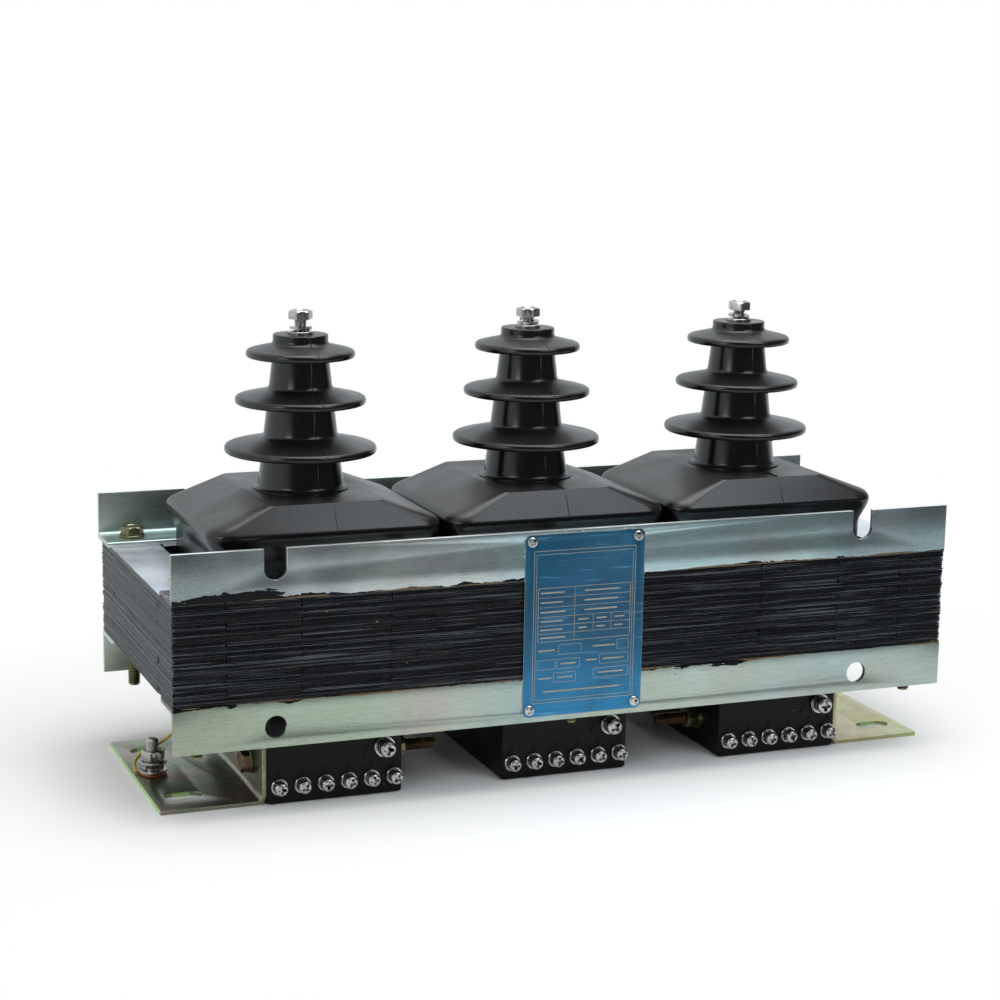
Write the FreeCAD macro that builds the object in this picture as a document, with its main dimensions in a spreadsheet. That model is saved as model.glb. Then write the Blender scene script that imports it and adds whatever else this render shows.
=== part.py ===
import FreeCAD, Part
import math
import os
import re
import Sketcher
from FreeCAD import Placement, Rotation, Vector

# Three-phase voltage transformer: a five-limb laminated core lies flat between four steel angles,
# three resin castings sit round its inner limbs, and two feet under the outer castings carry it.
# X runs along the core, Y from front to rear, Z up. The origin is on the ground, midway between the feet.

SIZES = {
    # Laminated core
    "core_length": 510,
    "core_height": 61,
    "core_recess": 0.5,
    "yoke_width": 36,
    "end_limb_width": 32,
    "main_limb_width": 55,
    "coil_side_gap": 6,
    "hood_gap": 2,
    "phase_pitch": "=(core_length / 2 - end_limb_width - coil_side_gap + hood_side_lip + hood_gap / 2) / 1.5",
    "packet_pairs": 6,
    "sheet_stagger": 0.4,
    # Clamping angles
    "clamp_depth": 195,
    "angle_length": "=core_length",
    "angle_wall": 3,
    "upper_leg": 30,
    "lower_leg": 28,
    "angle_flange": 30,
    "angle_foot": 43.4,
    "angle_root_radius": 3,
    "angle_toe_radius": 1.5,
    "rear_top_slip": 2,
    "mount_inset": 61.5,
    "mount_pitch": "=core_length - 2 * mount_inset",
    "slot_width": 14,
    "slot_drop": 18.7,
    "mount_hole_radius": 6.75,
    "mount_hole_rise": 12.4,
    # Castings
    "block_half_width": 42.5,
    "block_bolt_gap": 8,
    "block_half_depth": "=clamp_depth / 2 - clamp_bolt_setback - block_bolt_gap",
    "block_foot": 0.4,
    "block_corner_radius": 2,
    "flange_gap": 0.5,
    "hood_side_lip": 7,
    "hood_end_lip": 6,
    "coil_end_gap": 3,
    "coil_floor": 3.8,
    "coil_half_width": "=(phase_pitch - hood_gap) / 2 - hood_side_lip",
    "coil_half_depth": "=clamp_depth / 2 - core_recess - yoke_width - coil_end_gap",
    "coil_build": "=former_gap + former_wall + secondary_build + primary_build",
    "coil_underside": "=angle_foot + lower_leg - coil_build - coil_floor",
    "coil_corner_radius": 9,
    "neck_rise": 14.6,
    "neck_top": "=angle_foot + lower_leg + core_height + neck_rise",
    "hood_half_width": "=coil_half_width + hood_side_lip",
    "hood_half_depth": "=coil_half_depth + hood_end_lip",
    "hood_corner_radius": 15,
    "rim_rise": 14.7,
    "rim_middle": "=neck_top + rim_rise",
    "rim_round": 6,
    "flat_half_width": 36.5,
    "flat_setback": 8,
    "flat_half_depth": "=hood_half_depth - flat_setback",
    "flat_corner_radius": 5,
    "hood_rise": 17.3,
    "hood_top": "=rim_middle + hood_rise",
    "column_top_radius": 16.6,
    "column_rise": 88,
    "column_top": "=hood_top + column_rise",
    "column_taper": 0.113,
    "column_foot_radius": 3,
    "foot_ring_radius": 30.1,
    "foot_ring_height": 0.4,
    "collar_radius": 17,
    "collar_rise": 12.1,
    "collar_top": "=top_shed_middle + collar_rise",
    "collar_edge_radius": 1,
    "low_shed_radius": 47,
    "low_shed_rise": 23.9,
    "low_shed_middle": "=hood_top + low_shed_rise",
    "middle_shed_radius": 40.3,
    "middle_shed_rise": 30.2,
    "middle_shed_middle": "=low_shed_middle + middle_shed_rise",
    "top_shed_radius": 33.5,
    "top_shed_rise": 28.6,
    "top_shed_middle": "=middle_shed_middle + top_shed_rise",
    "shed_rim": 4.6,
    "shed_slope": 0.24,
    "shed_undercut": 0.06,
    "shed_root_radius": 2.5,
    # Windings inside the castings
    "former_gap": 0.4,
    "former_wall": 1.2,
    "former_setback": 1,
    "former_half_length": "=coil_half_depth - former_setback",
    "secondary_build": 6,
    "secondary_end_wall": 6,
    "secondary_half_length": "=coil_half_depth - secondary_end_wall",
    "primary_build": 8,
    "primary_end_wall": 12,
    "primary_half_length": "=coil_half_depth - primary_end_wall",
    "winding_corner_radius": 5,
    # High-voltage terminals
    "insert_radius": 7,
    "insert_length": 30,
    "insert_thread_depth": 26,
    "lead_radius": 1.5,
    "lead_clearance": 0.1,
    "thread_radius": 3.9,
    "thread_clearance": 0.1,
    "shank_clearance": 0.5,
    "hex_across_flats": 13,
    "hex_head_height": 5.3,
    "nut_height": 6.5,
    "washer_radius": 8,
    "washer_thickness": 1.6,
    "spring_washer_radius": 6.9,
    "spring_washer_height": 2.2,
    "spring_washer_split": 1.2,
    "terminal_bolt_length": 25,
    "left_bolt_lift": 5.4,
    "middle_bolt_lift": 3.2,
    "right_bolt_lift": 3.6,
    # Secondary terminals on the front of each block
    "screw_pitch": 14.5,
    "screw_row_offset": 1,
    "screw_row_height": 11,
    "screw_radius": 2.4,
    "screw_clearance": 0.1,
    "screw_head_radius": 4.1,
    "screw_head_height": 3.4,
    "screw_head_round": 1.2,
    "screw_lift": 3.6,
    "screw_engagement": 9,
    "screw_insert_radius": 3.6,
    "screw_insert_depth": 12,
    "screw_washer_radius": 5.2,
    "screw_washer_thickness": 1,
    "neutral_offset": 31,
    "neutral_height": 30,
    "neutral_screw_radius": 2.9,
    "neutral_head_radius": 5.3,
    "neutral_head_height": 4,
    "neutral_lift": 4.4,
    "neutral_insert_radius": 4.6,
    "neutral_insert_depth": 14,
    "neutral_washer_radius": 6.6,
    # Clamp bolts through the core
    "clamp_bolt_inset": 17,
    "clamp_bolt_setback": 14.5,
    "clamp_bolt_length": 100,
    # Feet
    "foot_overreach": 2,
    "foot_reach": "=core_length / 2 + foot_overreach",
    "foot_setback": 2.5,
    "foot_depth": "=2 * (block_half_depth - foot_setback)",
    "foot_wall": 2.5,
    "foot_flange_height": 48,
    "foot_bend_radius": 3.5,
    "foot_corner_radius": 1.5,
    "foot_slot_inset": 19.5,
    "foot_slot_centre": "=foot_reach - foot_slot_inset",
    "foot_slot_margin": 25,
    "foot_slot_spacing": "=foot_depth - 2 * foot_slot_margin",
    "foot_slot_width": 12,
    "foot_slot_length": 23,
    "foot_bolt_margin": 27.5,
    "foot_bolt_spacing": "=foot_depth - 2 * foot_bolt_margin",
    "foot_bolt_height": 20,
    "foot_bolt_length": 120,
    # Earthing
    "earth_stud_inset": 12,
    "earth_stud_centre": "=foot_reach - earth_stud_inset",
    "earth_stud_top": 25.2,
    "earth_washer_radius": 8.7,
    "earth_spring_height": 4.2,
    "earth_conductor": 1.4,
    "earth_loop_radius": 7.6,
    "upper_loop_radius": 5.2,
    "earth_tail_length": 2.1,
    "earth_wire_diameter": 2.1,
    # Rating plate
    "plate_width": 79,
    "plate_height": 114,
    "plate_thickness": 0.6,
    "plate_offset": 1,
    "plate_rise": 1.7,
    "plate_bottom": "=angle_foot + lower_leg + core_height / 2 - plate_height / 2 + plate_rise",
    "plate_corner_radius": 4,
    "rivet_margin": 4.5,
    "rivet_spacing_across": "=plate_width - 2 * rivet_margin",
    "rivet_spacing_up": "=plate_height - 2 * rivet_margin",
    "rivet_radius": 1.5,
    "rivet_clearance": 0.1,
    "rivet_head_radius": 3.2,
    "rivet_head_height": 1.2,
}

PHASES = {"left": "-phase_pitch", "middle": "0", "right": "phase_pitch"}

# Levels and places that follow from the sizes above
CORE_BOTTOM = "(angle_foot + lower_leg)"
CORE_TOP = f"({CORE_BOTTOM} + core_height)"
HALF_CORE = "(clamp_depth / 2 - core_recess)"
YOKE_INSIDE = f"({HALF_CORE} - yoke_width)"
BLOCK_TOP = f"({CORE_BOTTOM} - angle_wall - flange_gap)"
BLOCK_SIDE = "(phase_pitch + block_half_width)"
WINDOW_GAP = "(former_gap + former_wall)"
SHANK_HOLE = "(thread_radius + shank_clearance)"
INSIDE_THREAD = "(thread_radius + thread_clearance)"
CLAMP_X = "(core_length / 2 - clamp_bolt_inset)"
CLAMP_Y = "(clamp_depth / 2 - clamp_bolt_setback)"
UPPER_SEAT = f"({CORE_TOP} + angle_wall)"
LOWER_SEAT = f"({CORE_BOTTOM} - angle_wall)"
SCREW_STEPS = [-2.5, -1.5, -0.5, 0.5, 1.5, 2.5]

doc = FreeCAD.newDocument("voltage_transformer")
sizes = doc.addObject("Spreadsheet::Sheet", "Sizes")
for row, alias in enumerate(SIZES, start=1):
    sizes.set(f"A{row}", alias)
    sizes.setAlias(f"B{row}", alias)
for row, size in enumerate(SIZES.values(), start=1):
    sizes.set(f"B{row}", str(size))
doc.recompute()

nodes = []


def bound(text):
    """The expression with every named size read from the sheet."""
    return re.sub(r"[a-z_]{4,}", lambda word: "Sizes." + word.group(0) if word.group(0) in SIZES else word.group(0),
                  str(text))


def number(text):
    """What an expression comes to with the sheet's present sizes."""
    return float(sizes.evalExpression(bound(text)))


def tie(thing, **expressions):
    """Bind properties to the sheet, with a double underscore standing for a dot."""
    for name, text in expressions.items():
        thing.setExpression(name.replace("__", "."), bound(text))


def node(thing, label):
    """Mark a finished sub-part, which is written to a file of that name."""
    thing.Label = label
    nodes.append(thing)
    return thing


# Primitives and booleans

TURNS = {"z": Rotation(), "x": Rotation(Vector(0, 1, 0), 90), "y": Rotation(Vector(1, 0, 0), -90)}


def place(thing, at, axis="z"):
    thing.Placement = Placement(Vector(), TURNS[axis])
    tie(thing, Placement__Base__x=at[0], Placement__Base__y=at[1], Placement__Base__z=at[2])
    return thing


def rod(name, radius, length, at, axis="z"):
    thing = doc.addObject("Part::Cylinder", name)
    tie(thing, Radius=radius, Height=length)
    return place(thing, at, axis)


def block(name, length, width, height, at):
    thing = doc.addObject("Part::Box", name)
    tie(thing, Length=length, Width=width, Height=height)
    return place(thing, at)


def hexagon(name, height, at, axis="z", turn=0):
    thing = doc.addObject("Part::Prism", name)
    thing.Polygon = 6
    tie(thing, Circumradius="hex_across_flats / sqrt(3)", Height=height)
    place(thing, at, axis)
    thing.Placement = Placement(thing.Placement.Base, TURNS[axis] * Rotation(Vector(0, 0, 1), turn))
    return thing


def join(name, *parts):
    thing = doc.addObject("Part::MultiFuse", name)
    thing.Shapes = list(parts)
    return thing


def cut(name, base, *tools):
    thing = doc.addObject("Part::Cut", name)
    thing.Base = base
    thing.Tool = tools[0] if len(tools) == 1 else join(name + "_tools", *tools)
    return thing


def group(name, parts):
    thing = doc.addObject("Part::Compound", name)
    thing.Links = list(parts)
    return node(thing, name)


def ring(name, outer, inner, height, at, axis="z"):
    """A washer, a sleeve or a nut's bore: one cylinder less another along the same axis."""
    return cut(name, rod(name + "_outer", outer, height, at, axis), rod(name + "_inner", inner, height, at, axis))


# Bodies with sketches

def new_body(name):
    return doc.addObject("PartDesign::Body", name)


def sketch_on(body, name, plane, offset="0"):
    sketch = body.newObject("Sketcher::SketchObject", name)
    support = next(part for part in body.Origin.OriginFeatures if part.Role == plane)
    sketch.AttachmentSupport = (support, [""])
    sketch.MapMode = "FlatFace"
    tie(sketch, AttachmentOffset__Base__z=offset)
    return sketch


def fix_point(sketch, name, element, end, point):
    """Hold a point of a sketch at two expressions, measured from the sketch's origin."""
    for kind, text in zip(("DistanceX", "DistanceY"), point):
        index = sketch.addConstraint(Sketcher.Constraint(kind, -1, 1, element, end, number(text)))
        sketch.renameConstraint(index, f"{name}_{kind}")
        sketch.setExpression(f"Constraints.{name}_{kind}", bound(text))


def outline(sketch, corners):
    """A closed outline of straight edges through the given corners."""
    points = [Vector(number(across), number(along), 0) for across, along in corners]
    for start, end in zip(points, points[1:] + points[:1]):
        sketch.addGeometry(Part.LineSegment(start, end), False)
    count = len(corners)
    for index in range(count):
        sketch.addConstraint(Sketcher.Constraint("Coincident", index, 2, (index + 1) % count, 1))
    for index, corner in enumerate(corners):
        fix_point(sketch, f"corner{index}", index, 1, corner)
    return sketch


def rectangle(sketch, left, bottom, right, top):
    return outline(sketch, [(left, bottom), (right, bottom), (right, top), (left, top)])


def disc(sketch, centre, radius):
    index = sketch.addGeometry(Part.Circle(Vector(number(centre[0]), number(centre[1]), 0),
                                           Vector(0, 0, 1), number(radius)), False)
    fix_point(sketch, f"centre{index}", index, 3, centre)
    constraint = sketch.addConstraint(Sketcher.Constraint("Radius", index, number(radius)))
    sketch.renameConstraint(constraint, f"radius{index}")
    sketch.setExpression(f"Constraints.radius{index}", bound(radius))
    return sketch


def rounded_rectangle(sketch, half_width, half_height, radius, middle="0"):
    """Four lines and four tangent quarter arcs about a point on the sketch's upright axis."""
    wide, high, round_, level = (number(text) for text in (half_width, half_height, radius, middle))
    inner_wide, inner_high = wide - round_, high - round_
    corners = [(1, -1, 270), (1, 1, 0), (-1, 1, 90), (-1, -1, 180)]
    for turn_x, turn_y, start in corners:
        centre = Vector(turn_x * inner_wide, level + turn_y * inner_high, 0)
        circle = Part.Circle(centre, Vector(0, 0, 1), round_)
        sketch.addGeometry(Part.ArcOfCircle(circle, math.radians(start), math.radians(start + 90)), False)
    ends = [(wide, -inner_high, wide, inner_high), (inner_wide, high, -inner_wide, high),
            (-wide, inner_high, -wide, -inner_high), (-inner_wide, -high, inner_wide, -high)]
    for x1, y1, x2, y2 in ends:
        sketch.addGeometry(Part.LineSegment(Vector(x1, level + y1, 0), Vector(x2, level + y2, 0)), False)
    for index in range(4):
        line = 4 + index
        sketch.addConstraint(Sketcher.Constraint("Tangent", index, 2, line, 1))
        sketch.addConstraint(Sketcher.Constraint("Tangent", line, 2, (index + 1) % 4, 1))
        sketch.addConstraint(Sketcher.Constraint("Vertical" if index % 2 == 0 else "Horizontal", line))
    for index in range(1, 4):
        sketch.addConstraint(Sketcher.Constraint("Equal", 0, index))
    constraint = sketch.addConstraint(Sketcher.Constraint("Radius", 0, round_))
    sketch.renameConstraint(constraint, "corner_radius")
    sketch.setExpression("Constraints.corner_radius", bound(radius))
    fix_point(sketch, "first", 0, 3, (f"({half_width}) - ({radius})", f"({middle}) - (({half_height}) - ({radius}))"))
    fix_point(sketch, "third", 2, 3, (f"({radius}) - ({half_width})", f"({middle}) + ({half_height}) - ({radius})"))
    return sketch


def swept(body, kind, name, sketch, length, symmetric=False, backwards=False):
    """A Pad or a Pocket of a sketch."""
    feature = body.newObject("PartDesign::" + kind, name)
    feature.Profile = sketch
    feature.SideType = "Symmetric" if symmetric else "One side"
    feature.Reversed = backwards
    before = body.Shape.Volume if kind == "Pocket" else 0
    tie(feature, Length=length)
    doc.recompute()
    if kind == "Pocket" and not feature.Shape.Volume < before - 1e-3:
        raise RuntimeError(f"{body.Name}.{name} cuts nothing")
    return feature


def rounded_edges(body, name, radius, wanted):
    """A fillet on those edges of the body that the test picks."""
    doc.recompute()
    picked = [f"Edge{index}" for index, edge in enumerate(body.Shape.Edges, start=1) if wanted(edge)]
    if not picked:
        raise RuntimeError(f"{body.Name}.{name} finds no edge")
    feature = body.newObject("PartDesign::Fillet", name)
    feature.Base = (body.Tip if body.Tip != feature else feature.BaseFeature, picked)
    tie(feature, Radius=radius)
    doc.recompute()
    return feature


def near(first, second):
    return abs(first - second) < 1e-4


def straight_edge_at(edge, axis, place_one, place_two):
    """True for a straight edge along an axis through the given places on the other two."""
    if not isinstance(edge.Curve, Part.Line):
        return False
    others = [index for index in range(3) if index != axis]
    ends = [vertex.Point for vertex in edge.Vertexes]
    return all(near(end[others[0]], place_one) and near(end[others[1]], place_two) for end in ends)


def circular_edge(edge, radius):
    return isinstance(edge.Curve, Part.Circle) and near(edge.Curve.Radius, radius)


# Clamping angles

def clamping_angle(label, side, upright, web_level, web_direction, slip="0"):
    """An angle along X: its upright leg is outermost and its flange lies on the core.

    side is -1 for the front and 1 for the rear, upright is the leg's height, web_level is the level
    of the face on the core, and web_direction is 1 where the leg stands up and -1 where it hangs down.
    """
    body = new_body(label)
    outer = f"({side} * clamp_depth / 2)"
    inner = f"({side} * (clamp_depth / 2 - angle_wall))"
    reach = f"({side} * (clamp_depth / 2 - angle_flange))"
    web_top = f"({web_level} + {web_direction} * angle_wall)"
    tip = f"({web_level} + {web_direction} * {upright})"
    profile = sketch_on(body, label + "_profile", "YZ_Plane")
    outline(profile, [(outer, web_level), (reach, web_level), (reach, web_top), (inner, web_top),
                      (inner, tip), (outer, tip)])
    swept(body, "Pad", label + "_bar", profile, "angle_length", symmetric=True)
    rounded_edges(body, label + "_root", "angle_root_radius",
                  lambda edge: straight_edge_at(edge, 0, number(inner), number(web_top)))
    rounded_edges(body, label + "_toe", "angle_toe_radius",
                  lambda edge: straight_edge_at(edge, 0, number(reach), number(web_top)))
    holes = sketch_on(body, label + "_bolt_holes", "XY_Plane", web_level)
    for across in (f"-{CLAMP_X} - ({slip})", f"0 - ({slip})", f"{CLAMP_X} - ({slip})"):
        disc(holes, (across, f"{side} * {CLAMP_Y}"), SHANK_HOLE)
    swept(body, "Pocket", label + "_bolt_bores", holes, "angle_wall * 3", symmetric=True)
    tie(body, Placement__Base__x=slip)
    return body


def open_slots(body, label, side, slip="0"):
    """Two U-shaped slots, open at the top edge of an upper angle."""
    floor = f"({CORE_TOP} + upper_leg - slot_drop + slot_width / 2)"
    mouth = f"({CORE_TOP} + upper_leg + 1)"
    for index, across in enumerate((f"(-mount_pitch / 2 - ({slip}))", f"(mount_pitch / 2 - ({slip}))")):
        sketch = sketch_on(body, f"{label}_slot{index}", "XZ_Plane", f"{-side} * (clamp_depth / 2 - angle_wall / 2)")
        rectangle(sketch, f"{across} - slot_width / 2", floor, f"{across} + slot_width / 2", mouth)
        swept(body, "Pocket", f"{label}_slot_cut{index}", sketch, "angle_wall * 2", symmetric=True)
        sketch = sketch_on(body, f"{label}_slot_end{index}", "XZ_Plane",
                           f"{-side} * (clamp_depth / 2 - angle_wall / 2)")
        disc(sketch, (across, floor), "slot_width / 2")
        swept(body, "Pocket", f"{label}_slot_floor{index}", sketch, "angle_wall * 2", symmetric=True)


def round_holes(body, label, side):
    """Two round mounting holes in the leg of a lower angle."""
    sketch = sketch_on(body, label + "_holes", "XZ_Plane", f"{-side} * (clamp_depth / 2 - angle_wall / 2)")
    for across in ("-mount_pitch / 2", "mount_pitch / 2"):
        disc(sketch, (across, "angle_foot + mount_hole_rise"), "mount_hole_radius")
    swept(body, "Pocket", label + "_hole_cut", sketch, "angle_wall * 2", symmetric=True)


def rivet_places(level):
    return [(f"(plate_offset + {turn} * rivet_spacing_across / 2)", level) for turn in (-1, 1)]


LOW_RIVETS = "(plate_bottom + plate_height / 2 - rivet_spacing_up / 2)"
HIGH_RIVETS = "(plate_bottom + plate_height / 2 + rivet_spacing_up / 2)"


def rivet_holes(body, label, level):
    sketch = sketch_on(body, label + "_rivets", "XZ_Plane", "clamp_depth / 2 - angle_wall / 2")
    for place_ in rivet_places(level):
        disc(sketch, place_, "rivet_radius + rivet_clearance")
    swept(body, "Pocket", label + "_rivet_cut", sketch, "angle_wall * 2", symmetric=True)


def make_angles():
    front_top = clamping_angle("front_top_angle", -1, "upper_leg", CORE_TOP, 1)
    open_slots(front_top, "front_top_angle", -1)
    rivet_holes(front_top, "front_top_angle", HIGH_RIVETS)
    rear_top = clamping_angle("rear_top_angle", 1, "upper_leg", CORE_TOP, 1, slip="-rear_top_slip")
    open_slots(rear_top, "rear_top_angle", 1, slip="-rear_top_slip")
    front_bottom = clamping_angle("front_bottom_angle", -1, "lower_leg", CORE_BOTTOM, -1)
    round_holes(front_bottom, "front_bottom_angle", -1)
    rivet_holes(front_bottom, "front_bottom_angle", LOW_RIVETS)
    rear_bottom = clamping_angle("rear_bottom_angle", 1, "lower_leg", CORE_BOTTOM, -1)
    round_holes(rear_bottom, "rear_bottom_angle", 1)
    for body in (front_top, rear_top, front_bottom, rear_bottom):
        node(body, body.Name)


# Laminated core: packets of sheets, interleaved at every corner. In odd packets the yokes run the full
# length and the limbs fit between them; in even packets the limbs run the full depth.

LIMBS = {
    "left_end_limb": ("-core_length / 2", "end_limb_width"),
    "left_limb": ("-phase_pitch - main_limb_width / 2", "main_limb_width"),
    "middle_limb": ("-main_limb_width / 2", "main_limb_width"),
    "right_limb": ("phase_pitch - main_limb_width / 2", "main_limb_width"),
    "right_end_limb": ("core_length / 2 - end_limb_width", "end_limb_width"),
}
YOKES = {"front_yoke": -1, "rear_yoke": 1}


def packet_level(index):
    return f"({CORE_BOTTOM} + {index} * core_height / (2 * packet_pairs))"


def clamp_holes(name, places):
    """Rods that drill the clamp bolts' holes through the height of the core."""
    return [rod(f"{name}_hole{index}", SHANK_HOLE, "core_height + 2", (across, along, f"{CORE_BOTTOM} - 1"))
            for index, (across, along) in enumerate(places)]


def make_core():
    height = "core_height / (2 * packet_pairs)"
    packets = 2 * int(round(number("packet_pairs")))
    gaps = list(zip(list(LIMBS.values())[:-1], list(LIMBS.values())[1:]))
    for label, side in YOKES.items():
        sheets = []
        for index in range(packets):
            level = packet_level(index)
            if index % 2 == 0:
                front = f"-{HALF_CORE}" if side < 0 else YOKE_INSIDE
                sheets.append(block(f"{label}_long{index}", "core_length", "yoke_width", height,
                                    ("-core_length / 2", front, level)))
                continue
            front = f"sheet_stagger - {HALF_CORE}" if side < 0 else YOKE_INSIDE
            for gap, ((start, width), (end, _)) in enumerate(gaps):
                sheets.append(block(f"{label}_short{index}_{gap}", f"({end}) - ({start}) - {width}",
                                    "yoke_width - sheet_stagger", height, (f"{start} + {width}", front, level)))
        stack = doc.addObject("Part::Compound", label + "_sheets")
        stack.Links = sheets
        drills = clamp_holes(label, [(across, f"{side} * {CLAMP_Y}") for across in (f"-{CLAMP_X}", "0", CLAMP_X)])
        node(cut(label, stack, *drills), label)
    for label, (start, width) in LIMBS.items():
        sheets = []
        for index in range(packets):
            reach = YOKE_INSIDE if index % 2 == 0 else f"({HALF_CORE} - sheet_stagger / 2)"
            sheets.append(block(f"{label}_sheet{index}", width, f"2 * {reach}", height,
                                (start, f"-{reach}", packet_level(index))))
        stack = doc.addObject("Part::Compound", label + "_sheets")
        stack.Links = sheets
        across = {"left_end_limb": f"-{CLAMP_X}", "middle_limb": "0", "right_end_limb": CLAMP_X}.get(label)
        if across is None:
            node(stack, label)
            continue
        node(cut(label, stack, *clamp_holes(label, [(across, f"-{CLAMP_Y}"), (across, CLAMP_Y)])), label)


# Castings

SHEDS = [("low_shed_radius", "low_shed_middle"), ("middle_shed_radius", "middle_shed_middle"),
         ("top_shed_radius", "top_shed_middle")]
HOOD_TURNS = [-50, -25, 0, 30, 55]


def column_radius(level):
    return f"(column_top_radius + column_taper * (column_top - ({level})))"


def bushing_outline():
    """Half the section of the bushing: a foot ring, a tapering column with three sheds, and a collar."""
    step = "(hood_top + foot_ring_height)"
    points = [("0", "hood_top"), ("foot_ring_radius", "hood_top"), ("foot_ring_radius", step),
              (column_radius(step), step)]
    for radius, middle in SHEDS:
        neck = column_radius(middle)
        under = f"({middle} - shed_rim / 2 + shed_undercut * ({radius} - {neck}))"
        over = f"({middle} + shed_rim / 2 + shed_slope * ({radius} - {neck}))"
        points += [(column_radius(under), under), (radius, f"{middle} - shed_rim / 2"),
                   (radius, f"{middle} + shed_rim / 2"), (column_radius(over), over)]
    points[-1] = ("collar_radius", points[-1][1])
    return points + [("collar_radius", "collar_top"), ("0", "collar_top")]


def hood_sections():
    """Half width, half depth, corner radius and level of each outline up the hood."""
    sections = [("coil_half_width", "coil_half_depth", "coil_corner_radius", "neck_top")]
    for turn in HOOD_TURNS:
        inset = f"rim_round * (1 - cos({turn}))"
        sections.append((f"(hood_half_width - {inset})", f"(hood_half_depth - {inset})",
                         f"(hood_corner_radius - {inset})", f"(rim_middle + rim_round * sin({turn}))"))
    return sections + [("flat_half_width", "flat_half_depth", "flat_corner_radius", "hood_top")]


def winding_opening(build):
    """Half width, half height and middle level of an opening round a limb, grown by a build."""
    return (f"(main_limb_width / 2 + {WINDOW_GAP} + {build})", f"(core_height / 2 + {WINDOW_GAP} + {build})",
            f"({CORE_BOTTOM} + core_height / 2)")


def cast_hood(body, label):
    sketches = []
    for index, (half_width, half_depth, radius, level) in enumerate(hood_sections()):
        sketch = sketch_on(body, f"{label}_section{index}", "XY_Plane", level)
        rounded_rectangle(sketch, half_width, half_depth, radius)
        sketches.append(sketch)
    hood = body.newObject("PartDesign::AdditiveLoft", label + "_hood")
    hood.Profile = sketches[0]
    hood.Sections = sketches[1:]
    hood.Ruled = True
    doc.recompute()


def make_bushing(phase, across):
    """The ribbed part of the casting above its hood, with the bores for the terminal insert and its lead."""
    label = phase + "_bushing"
    body = new_body(label)
    profile = sketch_on(body, label + "_profile", "XZ_Plane")
    outline(profile, bushing_outline())
    bushing = body.newObject("PartDesign::Revolution", label + "_turned")
    bushing.Profile = profile
    bushing.ReferenceAxis = (profile, ["V_Axis"])
    rims = [number(radius) for radius, _ in SHEDS]
    rounded_edges(body, label + "_rims", "shed_rim * 0.46",
                  lambda edge: any(circular_edge(edge, rim) for rim in rims))
    roots = []
    for radius, middle in SHEDS:
        neck = number(column_radius(middle))
        over = number(middle) + number("shed_rim") / 2 + number("shed_slope") * (number(radius) - neck)
        roots.append(number(column_radius(str(over))))
    roots[-1] = number("collar_radius")
    rounded_edges(body, label + "_roots", "shed_root_radius",
                  lambda edge: any(circular_edge(edge, root) for root in roots)
                  and edge.Curve.Center.z < number("collar_top") - 1)
    rounded_edges(body, label + "_collar_edge", "collar_edge_radius",
                  lambda edge: circular_edge(edge, number("collar_radius"))
                  and near(edge.Curve.Center.z, number("collar_top")))
    step = "(hood_top + foot_ring_height)"
    rounded_edges(body, label + "_column_foot", "column_foot_radius",
                  lambda edge: circular_edge(edge, number(column_radius(step)))
                  and near(edge.Curve.Center.z, number(step)))
    top = sketch_on(body, label + "_insert_bore", "XY_Plane", "collar_top")
    disc(top, ("0", "0"), "insert_radius")
    swept(body, "Pocket", label + "_insert_cut", top, "insert_length")
    lead = sketch_on(body, label + "_lead_bore", "XY_Plane", "collar_top")
    disc(lead, ("0", "0"), "lead_radius + lead_clearance")
    swept(body, "Pocket", label + "_lead_cut", lead, "collar_top - hood_top")
    tie(body, Placement__Base__x=across)
    node(body, label)


def cast_openings(body, label):
    half_width, half_height, middle = winding_opening("0")
    window = sketch_on(body, label + "_window", "XZ_Plane")
    rectangle(window, f"-{half_width}", f"{middle} - {half_height}", half_width, f"{middle} + {half_height}")
    swept(body, "Pocket", label + "_window_cut", window, "2 * (coil_half_depth + block_half_depth)", symmetric=True)
    for name, build, length in (("secondary", "secondary_build", "secondary_half_length"),
                                ("primary", "(secondary_build + primary_build)", "primary_half_length")):
        half_width, half_height, middle = winding_opening(build)
        groove = sketch_on(body, f"{label}_{name}_groove", "XZ_Plane")
        rounded_rectangle(groove, half_width, half_height, "winding_corner_radius", middle)
        swept(body, "Pocket", f"{label}_{name}_cut", groove, f"2 * {length}", symmetric=True)


def cast_bores(body, label):
    lead = sketch_on(body, label + "_lead_bore", "XY_Plane", "hood_top")
    disc(lead, ("0", "0"), "lead_radius + lead_clearance")
    _, half_height, middle = winding_opening("(secondary_build + primary_build)")
    swept(body, "Pocket", label + "_lead_cut", lead, f"hood_top - ({middle} + {half_height}) + 0.01")
    face = sketch_on(body, label + "_screw_bores", "XZ_Plane", "block_half_depth")
    for step in SCREW_STEPS:
        disc(face, (f"screw_row_offset + {step} * screw_pitch", "screw_row_height"), "screw_insert_radius")
    swept(body, "Pocket", label + "_screw_cut", face, "screw_insert_depth")
    face = sketch_on(body, label + "_neutral_bore", "XZ_Plane", "block_half_depth")
    disc(face, ("neutral_offset", "neutral_height"), "neutral_insert_radius")
    swept(body, "Pocket", label + "_neutral_cut", face, "neutral_insert_depth")
    side = sketch_on(body, label + "_foot_bolt_bores", "YZ_Plane")
    for turn in (-1, 1):
        disc(side, (f"{turn} * foot_bolt_spacing / 2", "foot_bolt_height"), SHANK_HOLE)
    swept(body, "Pocket", label + "_foot_bolt_cut", side, "4 * block_half_width", symmetric=True)


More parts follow.
